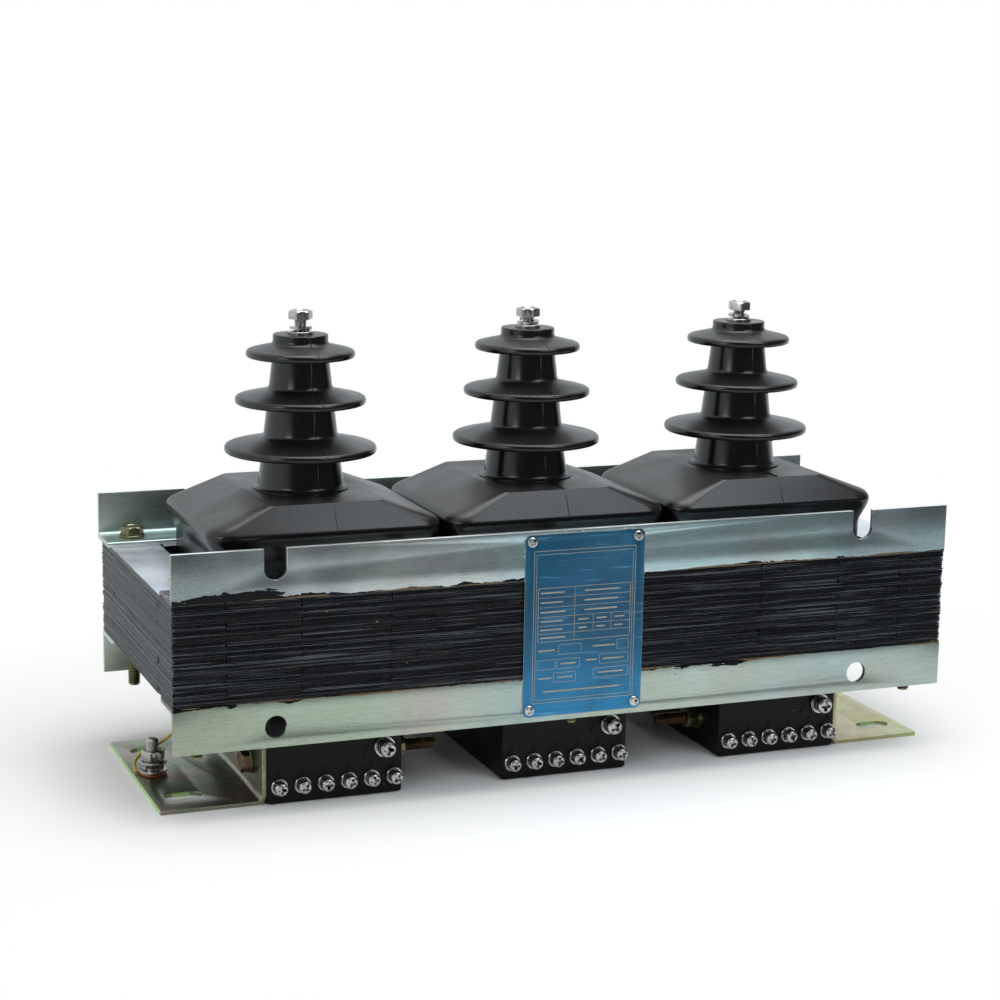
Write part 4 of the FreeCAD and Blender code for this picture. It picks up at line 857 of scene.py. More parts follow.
def hexagon_bolt(name, length, plain, pitch):
    """Bolt with a hexagon head; only the end of the shank below the plain length is threaded."""
    shell = bmesh.new()
    hexagon_block(shell, FLATS, 0, BOLT_HEAD)
    if plain:
        sunk = 0.3 * MM
        lathe(shell, [(0, sunk), (THREAD_RADIUS, sunk), (THREAD_RADIUS, -plain), (0, -plain)], 28)
    threaded_rod(shell, THREAD_RADIUS, -length, 0.2 * MM - plain, pitch)
    return finish_mesh(shell, name, 30)


def hexagon_nut(name, base=0.0):
    """M8 nut that stands on the base's level."""
    shell = bmesh.new()
    hexagon_block(shell, FLATS, base, base + NUT_HEIGHT, bore=NUT_BORE)
    return finish_mesh(shell, name, 30)


def ring_washer(name, outer, inner, thickness, soft=0.2 * MM):
    shell = bmesh.new()
    profile = [(inner, 0), (outer - soft, 0), (outer, soft), (outer, thickness - soft),
               (outer - soft, thickness), (inner + soft, thickness), (inner, thickness - soft)]
    lathe(shell, profile, 48, closed=True)
    return finish_mesh(shell, name, 30)


def split_washer(name, outer, inner, thickness, lift, gap=12):
    """A spring washer: one turn of square wire whose ends stand apart."""
    shell = bmesh.new()
    steps = 48
    rings = []
    for step in range(steps + 1):
        share = step / steps
        turn = math.radians(gap / 2 + (360 - gap) * share)
        base = lift * share
        rings.append([shell.verts.new((radius * math.cos(turn), radius * math.sin(turn), base + level))
                      for radius, level in ((inner, 0), (outer, 0), (outer, thickness), (inner, thickness))])
    for before, after in zip(rings, rings[1:]):
        skin(shell, before, after)
    shell.faces.new(rings[0])
    shell.faces.new(reversed(rings[-1]))
    return finish_mesh(shell, name, 30)


def cross_screw(name, radius, head, height, shank, depth):
    """Pan-head screw with a cross recess; the shank runs below the seat."""
    shell = bmesh.new()
    steps = 32
    rim = [(head * 0.97, 0), (head, height * 0.12), (head, height * 0.5), (head * 0.93, height * 0.78),
           (head * 0.8, height * 0.95), (head * 0.66, height)]
    rings = [circle(shell, reach, level, steps) for reach, level in rim]
    for lower, upper in zip(rings, rings[1:]):
        skin(shell, lower, upper)
    shell.faces.new(reversed(rings[0]))
    arm, half = head * 0.64, head * 0.17
    waist = half * 1.5
    corners = []
    for quarter in range(4):
        turned = Matrix.Rotation(math.pi / 2 * quarter, 3, "Z")
        corners += [turned @ Vector((waist, -waist, 0)), turned @ Vector((arm, -half, 0)),
                    turned @ Vector((arm, half, 0))]
    mouth = [shell.verts.new((corner.x, corner.y, height)) for corner in corners]
    floor = [shell.verts.new((corner.x * 0.78, corner.y * 0.78, height - depth)) for corner in corners]
    edges = [shell.edges.new((mouth[i], mouth[(i + 1) % len(mouth)])) for i in range(len(mouth))]
    edges += [shell.edges.get((rings[-1][i], rings[-1][(i + 1) % steps])) for i in range(steps)]
    bmesh.ops.triangle_fill(shell, edges=edges, use_beauty=True)
    skin(shell, mouth, floor)
    shell.faces.new(floor)
    threaded_rod(shell, radius, -shank, 0.1 * MM, 0.8 * MM, steps=20)
    return finish_mesh(shell, name, 32)


# Builders of the pieces

def bushing_profile():
    """Softened (radius, height) points of one bushing in millimetres, from the hood up to the collar."""
    def column(level):
        return COLUMN_TOP[0] + COLUMN_TAPER * (COLUMN_TOP[1] - level)

    points = [(0, HOOD_TOP - 4, 0), (FOOT_RING[0], HOOD_TOP - 4, 0),
              (FOOT_RING[0], HOOD_TOP + FOOT_RING[1], 0.15),
              (column(HOOD_TOP) + 1.2, HOOD_TOP + FOOT_RING[1], 0.6), (column(HOOD_TOP), HOOD_TOP + 2, 1.0)]
    for rim, middle in SHEDS:
        neck = column(middle)
        under = middle - SHED_RIM / 2 + SHED_UNDERCUT * (rim - neck)
        over = middle + SHED_RIM / 2 + SHED_SLOPE * (rim - neck)
        points += [(column(under), under, 1.2), (rim, middle - SHED_RIM / 2, 2.2),
                   (rim, middle + SHED_RIM / 2, 2.6), (column(over), over, 3.0)]
    collar = COLLAR_TOP / MM
    points[-1] = (COLLAR_RADIUS, points[-1][1], 2.4)
    points += [(COLLAR_RADIUS, collar, 1.0), (7.2, collar, 0.4), (7.0, collar - 0.6, 0), (0, collar - 0.6, 0)]
    return soften(points, steps=6)


def hood_rings():
    """Softened outlines up the hood: half width, half depth, corner and level, in millimetres."""
    return soften(HOOD, steps=6)


def resin_body(phase):
    """One casting: terminal block, coil body and hood with the core's window, and the ribbed bushing."""
    across = AXES[phase]
    shell = bmesh.new()
    loft(shell, [[point * MM for point in rounded_ring(*section)] for section in hood_rings()])
    body = placed("coil_body", finish_mesh(shell, "coil_body", 24))
    middle = (CORE_BOTTOM + CORE_TOP) / 2
    cutters = []
    for build, half_length in ((0, 80),) + WINDING_LAYERS:
        half = [(WINDOW_HALF[0] + build) * MM, half_length * MM, (WINDOW_HALF[1] + build) * MM]
        cutter = bmesh.new()
        place = Matrix.Translation((0, 0, middle)) @ Matrix.Diagonal((*half, 1))
        bmesh.ops.create_cube(cutter, size=2, matrix=place)
        cutters.append(placed("window", finish_mesh(cutter, "window")))
        opening = body.modifiers.new("Window", "BOOLEAN")
        opening.object = cutters[-1]
        opening.solver = "EXACT"
    coil = smoothed(evaluated(body), 24)
    for cutter in cutters:
        bpy.data.objects.remove(cutter)
    shell = bmesh.new()
    steps = bpy.context.scene.transformer_sizes.lathe_steps
    lathe(shell, [(radius * MM, height * MM) for radius, height in bushing_profile()], steps)
    bushing = finish_mesh(shell, "bushing", 50)
    shell = bmesh.new()
    foot, top = low(f"{phase}_casting").z / MM, low("front_bottom_angle").z / MM + 24.4
    sections = soften([(BLOCK_HALF[0] - 1, BLOCK_HALF[1] - 1, 2, foot, 0), (*BLOCK_HALF, 2.5, foot + 0.9, 0.8),
                       (*BLOCK_HALF, 2.5, top, 0)], steps=3)
    loft(shell, [[point * MM for point in rounded_ring(*section)] for section in sections])
    block = finish_mesh(shell, "block", 30)
    block.polygons.foreach_set("material_index", [1] * len(block.polygons))
    mesh = joined(f"{phase}_resin_body", coil, bushing, block)
    return piece(f"{phase}_resin_body", moved(mesh, Matrix.Translation((across, 0, 0))), "cast_resin",
                 f"{phase}_casting", f"{phase}_bushing", materials=[finish_of("resin"), finish_of("block")])


def parting_line(phase):
    """The mould's seam: a low, crooked ridge down the front of the bushing, over the hood and its rim."""
    height = bpy.context.scene.transformer_sizes.seam_height
    wobble = random.Random(PHASES.index(phase) + 5)
    column = [(radius, level) for radius, level in reversed(bushing_profile())
              if radius > COLLAR_RADIUS - 0.6 and level > HOOD_TOP]
    hood = [(half_depth, level) for _, half_depth, _, level in reversed(hood_rings()) if level > 150]
    path = column + [(hood[0][0] - 1, HOOD_TOP - 0.2)] + hood
    path = [spot for index, spot in enumerate(path) if index == 0 or math.dist(spot, path[index - 1]) > 0.3]
    shell = bmesh.new()
    rows, drift = [], 0.0
    for index, (reach, level) in enumerate(path):
        before, after = path[max(index - 1, 0)], path[min(index + 1, len(path) - 1)]
        drift = drift * 0.85 + wobble.uniform(-0.16, 0.16)
        across = SEAM_DRIFT[0] + (SEAM_DRIFT[1] - SEAM_DRIFT[0]) * index / len(path) + drift
        turn = math.asin(across / reach) if index < len(column) else 0
        middle = Vector((0, -reach, level))
        outward = Vector((0, after[1] - before[1], after[0] - before[0])).normalized()
        spin, shift = Matrix.Rotation(turn, 3, "Z"), Vector((0 if turn else across, 0, 0))
        rows.append([shell.verts.new((spin @ (middle + Vector((side, 0, 0)) + outward * lift) + shift) * MM)
                     for side, lift in ((-0.55, -0.2), (-0.15, height / MM), (0.15, height / MM), (0.55, -0.2))])
    for before, after in zip(rows, rows[1:]):
        skin(shell, before, after)
    shell.faces.new(rows[0])
    shell.faces.new(reversed(rows[-1]))
    mesh = moved(finish_mesh(shell, f"{phase}_parting_line", 60), Matrix.Translation((AXES[phase], 0, 0)))
    return piece(f"{phase}_parting_line", mesh, "cast_resin", materials=[finish_of("resin")])


def terminal_marks(phase):
    """Raised plain numbers over the screw terminals."""
    meshes = []
    spots = [(across, SCREW_HEIGHT + 8.6, 4.6) for across in SCREW_ROW]
    spots.append((NEUTRAL[0] - 12.5, NEUTRAL[1] - 1.5, 6.5))
    for number, (across, level, size) in enumerate(spots, start=1):
        text = bpy.data.curves.new("mark", "FONT")
        text.body = str(number)
        text.size = size * 1.35 * MM
        text.extrude = 0.3 * MM
        text.bevel_depth = 0.12 * MM
        text.align_x = "CENTER"
        mesh = evaluated(placed("mark", text))
        spot = (AXES[phase] + across * MM, BLOCK_FRONT - 0.1 * MM, level * MM - size / 2 * MM)
        meshes.append(moved(mesh, Matrix.Translation(spot) @ Matrix.Rotation(math.pi / 2, 4, "X")))
    mesh = smoothed(joined(f"{phase}_terminal_marks", *meshes), 30)
    return piece(f"{phase}_terminal_marks", mesh, "cast_resin", materials=[finish_of("block")])


def sheet_seats(label, rows):
    """Seats of the sheets of one part of the core: centre, facing and size of each."""
    limbs = {name: (low(name).x, high(name).x) for name in
             ("left_end_limb", "left_limb", "middle_limb", "right_limb", "right_end_limb")}
    uneven = random.Random(7)
    shares = [uneven.uniform(0.6, 1.4) for row in range(rows)]
    level, gap, seats = CORE_BOTTOM, 0.25 * MM, []
    for row, share in enumerate(shares):
        pitch = (CORE_TOP - CORE_BOTTOM) * share / sum(shares)
        level, thick = level + pitch, pitch - uneven.uniform(0.03, 0.22) * MM
        limbs_through = (row * PACKETS // rows) % 2 == 1
        if label in limbs:
            start, end = limbs[label]
            reach = (-CORE_FRONT if limbs_through else -YOKE_INSIDE) - gap
            seats.append((((start + end) / 2, 0, level - pitch / 2), UP, (end - start - gap, 2 * reach, thick)))
            continue
        side = -1 if label == "front_yoke" else 1
        depth = YOKE_INSIDE - CORE_FRONT
        middle = side * -(CORE_FRONT + YOKE_INSIDE) / 2
        edges = sorted(edge for pair in limbs.values() for edge in pair)
        spans = list(zip(edges[1:-1:2], edges[2:-1:2])) if limbs_through else [(edges[0], edges[-1])]
        for start, end in spans:
            seats.append((((start + end) / 2, middle, level - pitch / 2), UP,
                          (end - start - 2 * gap, depth - gap, thick)))
    return seats


def core_part(label, seed):
    """The sheets of one part of the core, with a chamfer along their level edges."""
    sizes = bpy.context.scene.transformer_sizes
    mesh = run_tree(label + "_sheets", sheet_tree, sheet_seats(label, sizes.sheet_rows),
                    Setback=sizes.sheet_setback, Seed=seed, Finish=finish_of("core"))
    shell = bmesh.new()
    shell.from_mesh(mesh)
    level_edges = [edge for edge in shell.edges if abs(edge.verts[0].co.z - edge.verts[1].co.z) < 1e-6]
    bmesh.ops.bevel(shell, geom=level_edges, offset=sizes.sheet_burr, segments=1, profile=0.5, affect="EDGES",
                    material=-1)
    shell.to_mesh(mesh)
    shell.free()
    return piece(label + "_sheets", mesh, "core_steel", label)


def plate_lines():
    """Borders, table and fields of the rating plate as thin raised strips."""
    left, base = low("rating_plate").x, low("rating_plate").z
    wide, tall = high("rating_plate").x - left, high("rating_plate").z - base
    face = low("rating_plate").y
    shell = bmesh.new()

    def strip(x1, y1, x2, y2, width=0.28):
        size = (abs(x2 - x1) + width, 0.12, abs(y2 - y1) + width)
        middle = (left + (x1 + x2) / 2 * MM, face - 0.02 * MM, base + tall - (y1 + y2) / 2 * MM)
        bmesh.ops.create_cube(shell, size=1, matrix=Matrix.Translation(middle)
                              @ Matrix.Diagonal((size[0] * MM, size[1] * MM, size[2] * MM, 1)))

    def field(x1, y1, x2, y2, width=0.28):
        strip(x1, y1, x2, y1, width)
        strip(x1, y2, x2, y2, width)
        strip(x1, y1, x1, y2, width)
        strip(x2, y1, x2, y2, width)

    width, height = wide / MM, tall / MM
    field(6, 10.4, width - 6, height - 8.6, 0.35)
    field(7.6, 12.6, width - 7.6, height - 10.6)
    table = (9, 33.5, width - 9, 67)
    field(*table, 0.34)
    for level in (39.5, 45.5, 51.5, 57, 62):
        strip(table[0], level, table[2], level)
    strip(33, table[1], 33, table[3])
    for across in (45.5, 57.5):
        strip(across, 51.5, across, 62)
    for box in ((23, 69.5, 38, 75.5), (62, 69, 69.5, 75), (9, 78.5, 21, 84.5), (22.5, 78.5, 37, 84.5),
                (50.5, 77.5, 69.5, 83.5), (20, 87, 34.5, 93), (46.5, 86, 69.5, 92)):
        field(*box)
    rows = random.Random(4)
    for level in (36.5, 42.5, 48.5, 54.3, 59.6, 64.6):
        strip(11, level, 11 + rows.uniform(13, 20), level, 0.9)
    for level in (36.5, 42.5, 48.5):
        strip(40, level, 40 + rows.uniform(10, 24), level, 0.9)
    for across in (36, 48, 60):
        strip(across, 54.3, across + 6, 54.3, 0.9)
        strip(across, 59.6, across + 5, 59.6, 0.9)
    for start, level, end in ((10, 72.5, 20), (46, 72, 60), (25, 81.5, 34), (42, 80.5, 48), (53, 80.5, 66),
                              (10, 90, 18), (23, 90, 32), (50, 89, 66), (14, 98.5, 64)):
        strip(start, level, end, level, 0.9)
    mesh = finish_mesh(shell, "rating_plate_lines")
    piece("rating_plate_lines", mesh, "plate_blue", materials=[finish_of("print")])


def rating_plate():
    """The plate with its print, its four rivets and the adhesive round it."""
    mesh = from_node("rating_plate", 0.18 * MM, sheared=0)
    piece("printed_plate", mesh, "plate_blue", "rating_plate",
          materials=[finish_of("plate"), finish_of("print")])
    plate_lines()
    start, end = low("rating_plate_rivets"), high("rating_plate_rivets")
    seats = [((across, start.y + RIVET_HEAD, level), FORWARD)
             for across in (start.x + RIVET_RADIUS, end.x - RIVET_RADIUS)
             for level in (start.z + RIVET_RADIUS, end.z - RIVET_RADIUS)]
    item = cross_screw("plate_rivet", 1.5 * MM, RIVET_RADIUS, RIVET_HEAD, 3.4 * MM, 0.7 * MM)
    set_fasteners("plate_fixings", item, seats, finish_of("nickel"), "stainless", "rating_plate_rivets",
                  roll=1.5)
    adhesive()


def adhesive():
    """Dried blobs of adhesive that squeezed out round the plate."""
    place = random.Random(12)
    left, right = low("rating_plate").x, high("rating_plate").x
    base, top = low("rating_plate").z, high("rating_plate").z
    shell = bmesh.new()
    for index in range(90):
        side = index % 3
        if side == 0:
            spot = (left - 0.1 * MM, place.uniform(base + 6 * MM, top - 3 * MM))
        elif side == 1:
            spot = (right + 0.1 * MM, place.uniform(base + 20 * MM, top - 3 * MM))
        else:
            spot = (place.uniform(left + 3 * MM, right - 3 * MM), top + 0.05 * MM)
        size = place.uniform(0.25, 0.7) * MM
        level = spot[1]
        if not (CORE_BOTTOM - 25 * MM < level < CORE_BOTTOM or CORE_TOP < level < CORE_TOP + 29 * MM):
            continue
        bmesh.ops.create_icosphere(shell, subdivisions=2, radius=size,
                                   matrix=Matrix.Translation((spot[0], FRONT_FACE - 0.05 * MM, level))
                                   @ Matrix.Diagonal((place.uniform(0.6, 1.2), 0.5, place.uniform(0.8, 2.2), 1)))
    mesh = finish_mesh(shell, "adhesive_beads", 60)
    piece("adhesive_beads", mesh, "plate_blue", materials=[finish_of("glue")])


def stranded_ring(shell, centre, level, radius, tail_turn, tail, strands=5):
    """A ring of twisted bare strands that leaves towards the wire."""
    turns, steps = 9, 72
    points = []
    for step in range(steps + 1):
        turn = math.radians(tail_turn) + 2 * math.pi * step / steps
        points.append(Vector((centre.x + radius * math.cos(turn), centre.y + radius * math.sin(turn), level)))
    outward = Vector((math.cos(math.radians(tail_turn)), math.sin(math.radians(tail_turn)), 0))
    points = [points[0] + outward * tail] + points
    for strand in range(strands):
        rings = []
        for index, point in enumerate(points):
            along = (points[min(index + 1, len(points) - 1)] - points[max(index - 1, 0)]).normalized()
            side = along.cross(Vector((0, 0, 1))).normalized()
            lift = side.cross(along)
            phase = 2 * math.pi * (strand / strands + turns * index / len(points))
            middle = point + (side * math.cos(phase) + lift * math.sin(phase)) * 0.4 * MM
            rings.append([shell.verts.new(middle + (side * math.cos(t) + lift * math.sin(t)) * 0.29 * MM)
                          for t in (2 * math.pi * k / 6 for k in range(6))])
        for before, after in zip(rings, rings[1:]):
            skin(shell, before, after)
        shell.faces.new(rings[0])
        shell.faces.new(reversed(rings[-1]))


def earth_wire():
    """The yellow wire along its route."""
    curve = bpy.data.curves.new("earth_lead", "CURVE")
    curve.dimensions = "3D"
    curve.bevel_depth = WIRE_THICKNESS / 2
    curve.bevel_resolution = 4
    curve.resolution_u = 12
    curve.use_fill_caps = True
    spline = curve.splines.new("NURBS")
    spline.points.add(len(WIRE_ROUTE) - 1)
    for point, place in zip(spline.points, WIRE_ROUTE):
        point.co = (*(value * MM for value in place), 1)
    spline.order_u = 3
    spline.use_endpoint_u = True
    lead = placed("earth_lead", curve)
    curve.materials.append(finish_of("wire"))
    settle(lead, "wire_sheath", "earth_wire")


# Operators

class StageOperator(bpy.types.Operator):
    """Put up the floor, the lamps and the camera"""
    bl_idname = "transformer.stage"
    bl_label = "Stage"

    def execute(self, context):
        stage = context.scene.transformer_stage
        shell = bmesh.new()
        bmesh.ops.create_grid(shell, x_segments=8, y_segments=8, size=9)
        floor = placed("floor", finish_mesh(shell, "floor"))
        floor.data.materials.append(floor_material())
        self.camera(context.scene, stage)
        for name, place, aim, size, power, tint in (
                ("overhead_light", (0.1, -0.1, 1.4), (0, 0, 0.1), 1.1, stage.overhead, (1, 1, 1)),
                ("front_light", (0.62, -1.2, 1.12), (0.05, 0, 0.15), 0.85, stage.front, (0.84, 0.93, 1)),
                ("left_light", (-1.35, -0.9, 0.7), (0, 0, 0.12), 0.5, stage.front * 0.35, (1, 0.99, 0.97))):
            light = bpy.data.lights.new(name, "AREA")
            light.size = size
            light.energy = power
            light.color = tint
            lamp = placed(name, light)
            lamp.location = place
            lamp.rotation_euler = (Vector(aim) - Vector(place)).to_track_quat("-Z", "Y").to_euler()
        white_world(context.scene, stage.fill)
        context.scene.view_settings.view_transform = "Standard"
        return {"FINISHED"}

    def camera(self, scene, stage):
        yaw, pitch, roll = stage.camera_turn
        right = Vector((math.cos(yaw), -math.sin(yaw), 0))
        level = Vector((math.sin(yaw), math.cos(yaw), 0))
        ahead = level * math.cos(pitch) - Vector((0, 0, math.sin(pitch)))
        upward = level * math.sin(pitch) + Vector((0, 0, math.cos(pitch)))
        across = right * math.cos(roll) + upward * math.sin(roll)
        above = upward * math.cos(roll) - right * math.sin(roll)
        data = bpy.data.cameras.new("camera")
        data.lens = stage.lens
        data.sensor_width = 36
        data.dof.use_dof = False
        camera = placed("camera", data)
        turned = Matrix((across, above, -ahead)).transposed().to_4x4()
        camera.matrix_world = Matrix.Translation(stage.camera_place) @ turned
        scene.camera = camera


def towards_back(tree, vector):
    """How far a direction or a place lies behind the object's front, a little more to the left."""
    back = put(tree, "ShaderNodeVectorMath", {0: vector, 1: (-0.5, 0.87, 0)}, operation="DOT_PRODUCT")
    return back.outputs["Value"]


def white_world(scene, fill):
    """White to the camera; reflections see white behind and above the object and a dim room before it."""
    world = bpy.data.worlds.new("studio")
    world.use_nodes = True
    scene.world = world
    tree = world.node_tree
    tree.nodes.clear()
    direction = put(tree, "ShaderNodeTexCoord").outputs["Generated"]
    behind = between(tree, towards_back(tree, direction), -0.3, 0.25, ROOM_LEVEL, 1.0)
    parts = put(tree, "ShaderNodeSeparateXYZ", {0: direction})
    above = between(tree, parts.outputs[2], 0.6, 0.95, ROOM_LEVEL, 1.0)
    strength, tint = background(tree, calc(tree, "MAXIMUM", behind, above), fill)
    light = put(tree, "ShaderNodeBackground", {"Color": tint, "Strength": strength})
    put(tree, "ShaderNodeOutputWorld", {"Surface": light.outputs[0]})


def background(tree, mirrored, plain):
    """Strength and colour: 1 and white to the camera and through glass, less and cool in reflections."""
    light = tree.nodes.new("ShaderNodeLightPath").outputs
    seen = calc(tree, "ADD", light["Is Camera Ray"], light["Is Transmission Ray"], clamp=True)
    strength = between(tree, light["Is Glossy Ray"], 0, 1, plain, mirrored)
    return between(tree, seen, 0, 1, strength, 1.0), mix(tree, light["Is Glossy Ray"], (1, 1, 1), COOL_WHITE)


def floor_material():
    """Pale floor that keeps the shadow near the object and runs out to white."""
    material, tree, shader, place = new_material("Pale floor")
    shader.inputs["Base Color"].default_value = (0.9, 0.9, 0.9, 1)
    shader.inputs["Roughness"].default_value = 0.9
    shader.inputs["Specular IOR Level"].default_value = 0.1
    oval = put(tree, "ShaderNodeVectorMath", {0: place, 1: (0.62, 1, 1)}, operation="MULTIPLY")
    distance = put(tree, "ShaderNodeVectorMath", {0: oval.outputs[0]}, operation="LENGTH").outputs["Value"]
    mirrored = between(tree, towards_back(tree, place), -1.3, -0.6, ROOM_LEVEL, 0.95)
    strength, tint = background(tree, mirrored, 0.0)
    light = tree.nodes.new("ShaderNodeLightPath").outputs
    direct = calc(tree, "SUBTRACT", 1.0, light["Is Diffuse Ray"], clamp=True)
    away = calc(tree, "MULTIPLY", between(tree, distance, 0.14, 0.38), direct)
    glow = put(tree, "ShaderNodeEmission", {"Color": tint, "Strength": strength})
    blend = put(tree, "ShaderNodeMixShader", {0: away, 1: shader.outputs[0], 2: glow.outputs[0]})
    tree.links.new(blend.outputs[0], tree.nodes["Material Output"].inputs["Surface"])
    return material


class EarthWireOperator(bpy.types.Operator):
    """Lay the yellow earth wire and the bare rings at its ends"""
    bl_idname = "transformer.earth_wire"
    bl_label = "Earth wire"

    def execute(self, context):
        earth_wire()
        shell = bmesh.new()
        stud = (low("earth_stud") + high("earth_stud")) / 2
        clamp_bolt = Vector((-CORE_END + CLAMP_INSET[0], FRONT_FACE + CLAMP_INSET[1], 0))
        stranded_ring(shell, stud, low("earth_wire_loops").z + RING_HALF, 7.6 * MM, 170, WIRE_THICKNESS)
        stranded_ring(shell, clamp_bolt, high("clamp_nuts").z - RING_HALF, 5.2 * MM, 110, WIRE_THICKNESS)
        piece("bare_wire_rings", finish_mesh(shell, "bare_wire_rings", 60), "copper", "earth_wire_loops",
              materials=[finish_of("copper")])
        return {"FINISHED"}


class CastingsOperator(bpy.types.Operator):
    """Cast the three resin bodies with their seams and terminal marks"""
    bl_idname = "transformer.castings"
    bl_label = "Castings"

    def execute(self, context):
        for phase in PHASES:
            resin_body(phase)
            parting_line(phase)
            terminal_marks(phase)
        return {"FINISHED"}


class CoreOperator(bpy.types.Operator):
    """Stack the sheets of the core"""
    bl_idname = "transformer.core"
    bl_label = "Core"

    def execute(self, context):
        for seed, label in enumerate(("front_yoke", "rear_yoke", "left_end_limb", "left_limb", "middle_limb",
                                      "right_limb", "right_end_limb"), start=3):
            core_part(label, seed)
        return {"FINISHED"}


class AnglesOperator(bpy.types.Operator):
    """Bevel and finish the four clamping angles"""
    bl_idname = "transformer.angles"
    bl_label = "Clamping angles"

    def execute(self, context):
        bevel = context.scene.transformer_sizes.edge_bevel
        for label, key in (("front_top_angle", "zinc_top"), ("front_bottom_angle", "zinc_low"),
                           ("rear_top_angle", "zinc_rear"), ("rear_bottom_angle", "zinc_rear")):
            piece(label + "_plated", from_node(label, bevel), "plated_steel", label,
                  materials=[finish_of(key), finish_of("edge")])
        return {"FINISHED"}


class FeetOperator(bpy.types.Operator):
    """Bevel and finish the two feet"""
    bl_idname = "transformer.feet"
    bl_label = "Feet"

    def execute(self, context):
        bevel = context.scene.transformer_sizes.edge_bevel
        for label in ("left_foot", "right_foot"):
            piece(label + "_plated", from_node(label, bevel), "plated_steel", label,
                  materials=[finish_of("zinc_" + label), finish_of("foot_edge_highlight")])
        return {"FINISHED"}


class HighVoltageOperator(bpy.types.Operator):
    """Set the terminals on top of the bushings"""
    bl_idname = "transformer.high_voltage"
    bl_label = "High-voltage terminals"

    def execute(self, context):
        steel = finish_of("stainless")
        pitch = context.scene.transformer_sizes.thread_pitch
        seats = [((AXES[phase], 0, COLLAR_TOP + STACK_HEIGHT + lift * MM), (0.02, -0.015, turn))
                 for phase, lift, turn in (("left", 5.4, 0.45), ("middle", 3.2, 0.1), ("right", 3.6, 0.75))]
        set_fasteners("terminal_bolts", hexagon_bolt("terminal_bolt", 25 * MM, 0, pitch), seats, steel, "stainless",
                      "high_voltage_bolts", roll=0.0)
        washer = ring_washer("flat_washer", *WASHER)
        seats = [((AXES[phase], 0, COLLAR_TOP), UP) for phase in PHASES]
        set_fasteners("terminal_flat_washers", washer, seats, steel, "stainless", "high_voltage_washers")
        spring = split_washer("spring_washer", *SPRING_RING, 1.7 * MM, 1.9 * MM)
        seats = [((AXES[phase], 0, COLLAR_TOP + WASHER_WALL + SPRING_CLEARANCE), (0.0, tilt, turn))
                 for phase, tilt, turn in (("left", 0.1, 0.3), ("middle", -0.06, 2.2), ("right", 0.05, 4.4))]
        set_fasteners("terminal_spring_washers", spring, seats, steel, "stainless", "high_voltage_spring_washers",
                      roll=0.0)
        return {"FINISHED"}


class ScrewTerminalsOperator(bpy.types.Operator):
    """Set the screw terminals on the blocks"""
    bl_idname = "transformer.screw_terminals"
    bl_label = "Screw terminals"

    def execute(self, context):
        nickel = finish_of("nickel")
        small, large = [], []
        for phase in PHASES:
            small += [(AXES[phase] + across * MM, SCREW_HEIGHT * MM) for across in SCREW_ROW]
            large.append((AXES[phase] + NEUTRAL[0] * MM, NEUTRAL[1] * MM))
        for name, spots, sizes, lift in (("terminal", small, (2.4, 4.1, 3.4, 12.5, 2.3), 3.6),
                                         ("neutral", large, (2.9, 5.3, 4.0, 13, 2.9), 4.4)):
            item = cross_screw(name + "_screw", *(value * MM for value in sizes))
            seats = [((across, BLOCK_FRONT - lift * MM, level), FORWARD) for across, level in spots]
            set_fasteners(name + "_cross_screws", item, seats, nickel, "stainless", name + "_screws", roll=3.1,
                          seed=8)
            outer = (high(name + "_washers").z - low(name + "_washers").z) / 2
            washer = ring_washer(name + "_washer", outer, (sizes[0] + 0.4) * MM, 1 * MM, 0.25 * MM)
            seats = [((across, BLOCK_FRONT, level), FORWARD) for across, level in spots]
            set_fasteners(name + "_flat_washers", washer, seats, nickel, "stainless", name + "_washers")
            spring = split_washer(name + "_spring", outer * 0.84, (sizes[0] + 0.3) * MM, 0.9 * MM, 0.5 * MM)
            seats = [((across, BLOCK_FRONT - 1.02 * MM, level), FORWARD) for across, level in spots]
            set_fasteners(name + "_spring_washers", spring, seats, finish_of("stainless"), "stainless", roll=3.1,
                          seed=3)
        return {"FINISHED"}


class ClampBoltsOperator(bpy.types.Operator):
    """Set the bolts that clamp the angles on the core"""
    bl_idname = "transformer.clamp_bolts"
    bl_label = "Clamp bolts"

    def execute(self, context):
        pitch = context.scene.transformer_sizes.thread_pitch
        yellow = finish_of("yellow_zinc")
        spots = [(across * (CORE_END - CLAMP_INSET[0]), side * (-FRONT_FACE - CLAMP_INSET[1]))
                 for side in (-1, 1) for across in (-1, 0, 1)]
        upper, lower = CORE_TOP + FLANGE_WALL, CORE_BOTTOM - FLANGE_WALL
        bolt = hexagon_bolt("clamp_bolt", 100 * MM, 60 * MM, pitch)
        seats = [((*spot, upper + WASHER_WALL), (0, 0, math.radians(30))) for spot in spots]
        set_fasteners("core_clamp_bolts", bolt, seats, yellow, "yellow_zinc", "clamp_bolts", roll=0.3)
        washer = ring_washer("clamp_washer", *WASHER)
        seats = [((*spot, level), UP) for spot in spots for level in (upper, lower - WASHER_WALL)]
        set_fasteners("core_clamp_washers", washer, seats, yellow, "yellow_zinc", "clamp_washers")
        nut = hexagon_nut("clamp_nut", -NUT_HEIGHT)
        seats = [((*spot, lower - WASHER_WALL - (RING_SPACE if index == 0 else 0)), (0, 0, math.radians(30)))
                 for index, spot in enumerate(spots)]
        set_fasteners("core_clamp_nuts", nut, seats, yellow, "yellow_zinc", "clamp_nuts", roll=0.2)
        return {"FINISHED"}


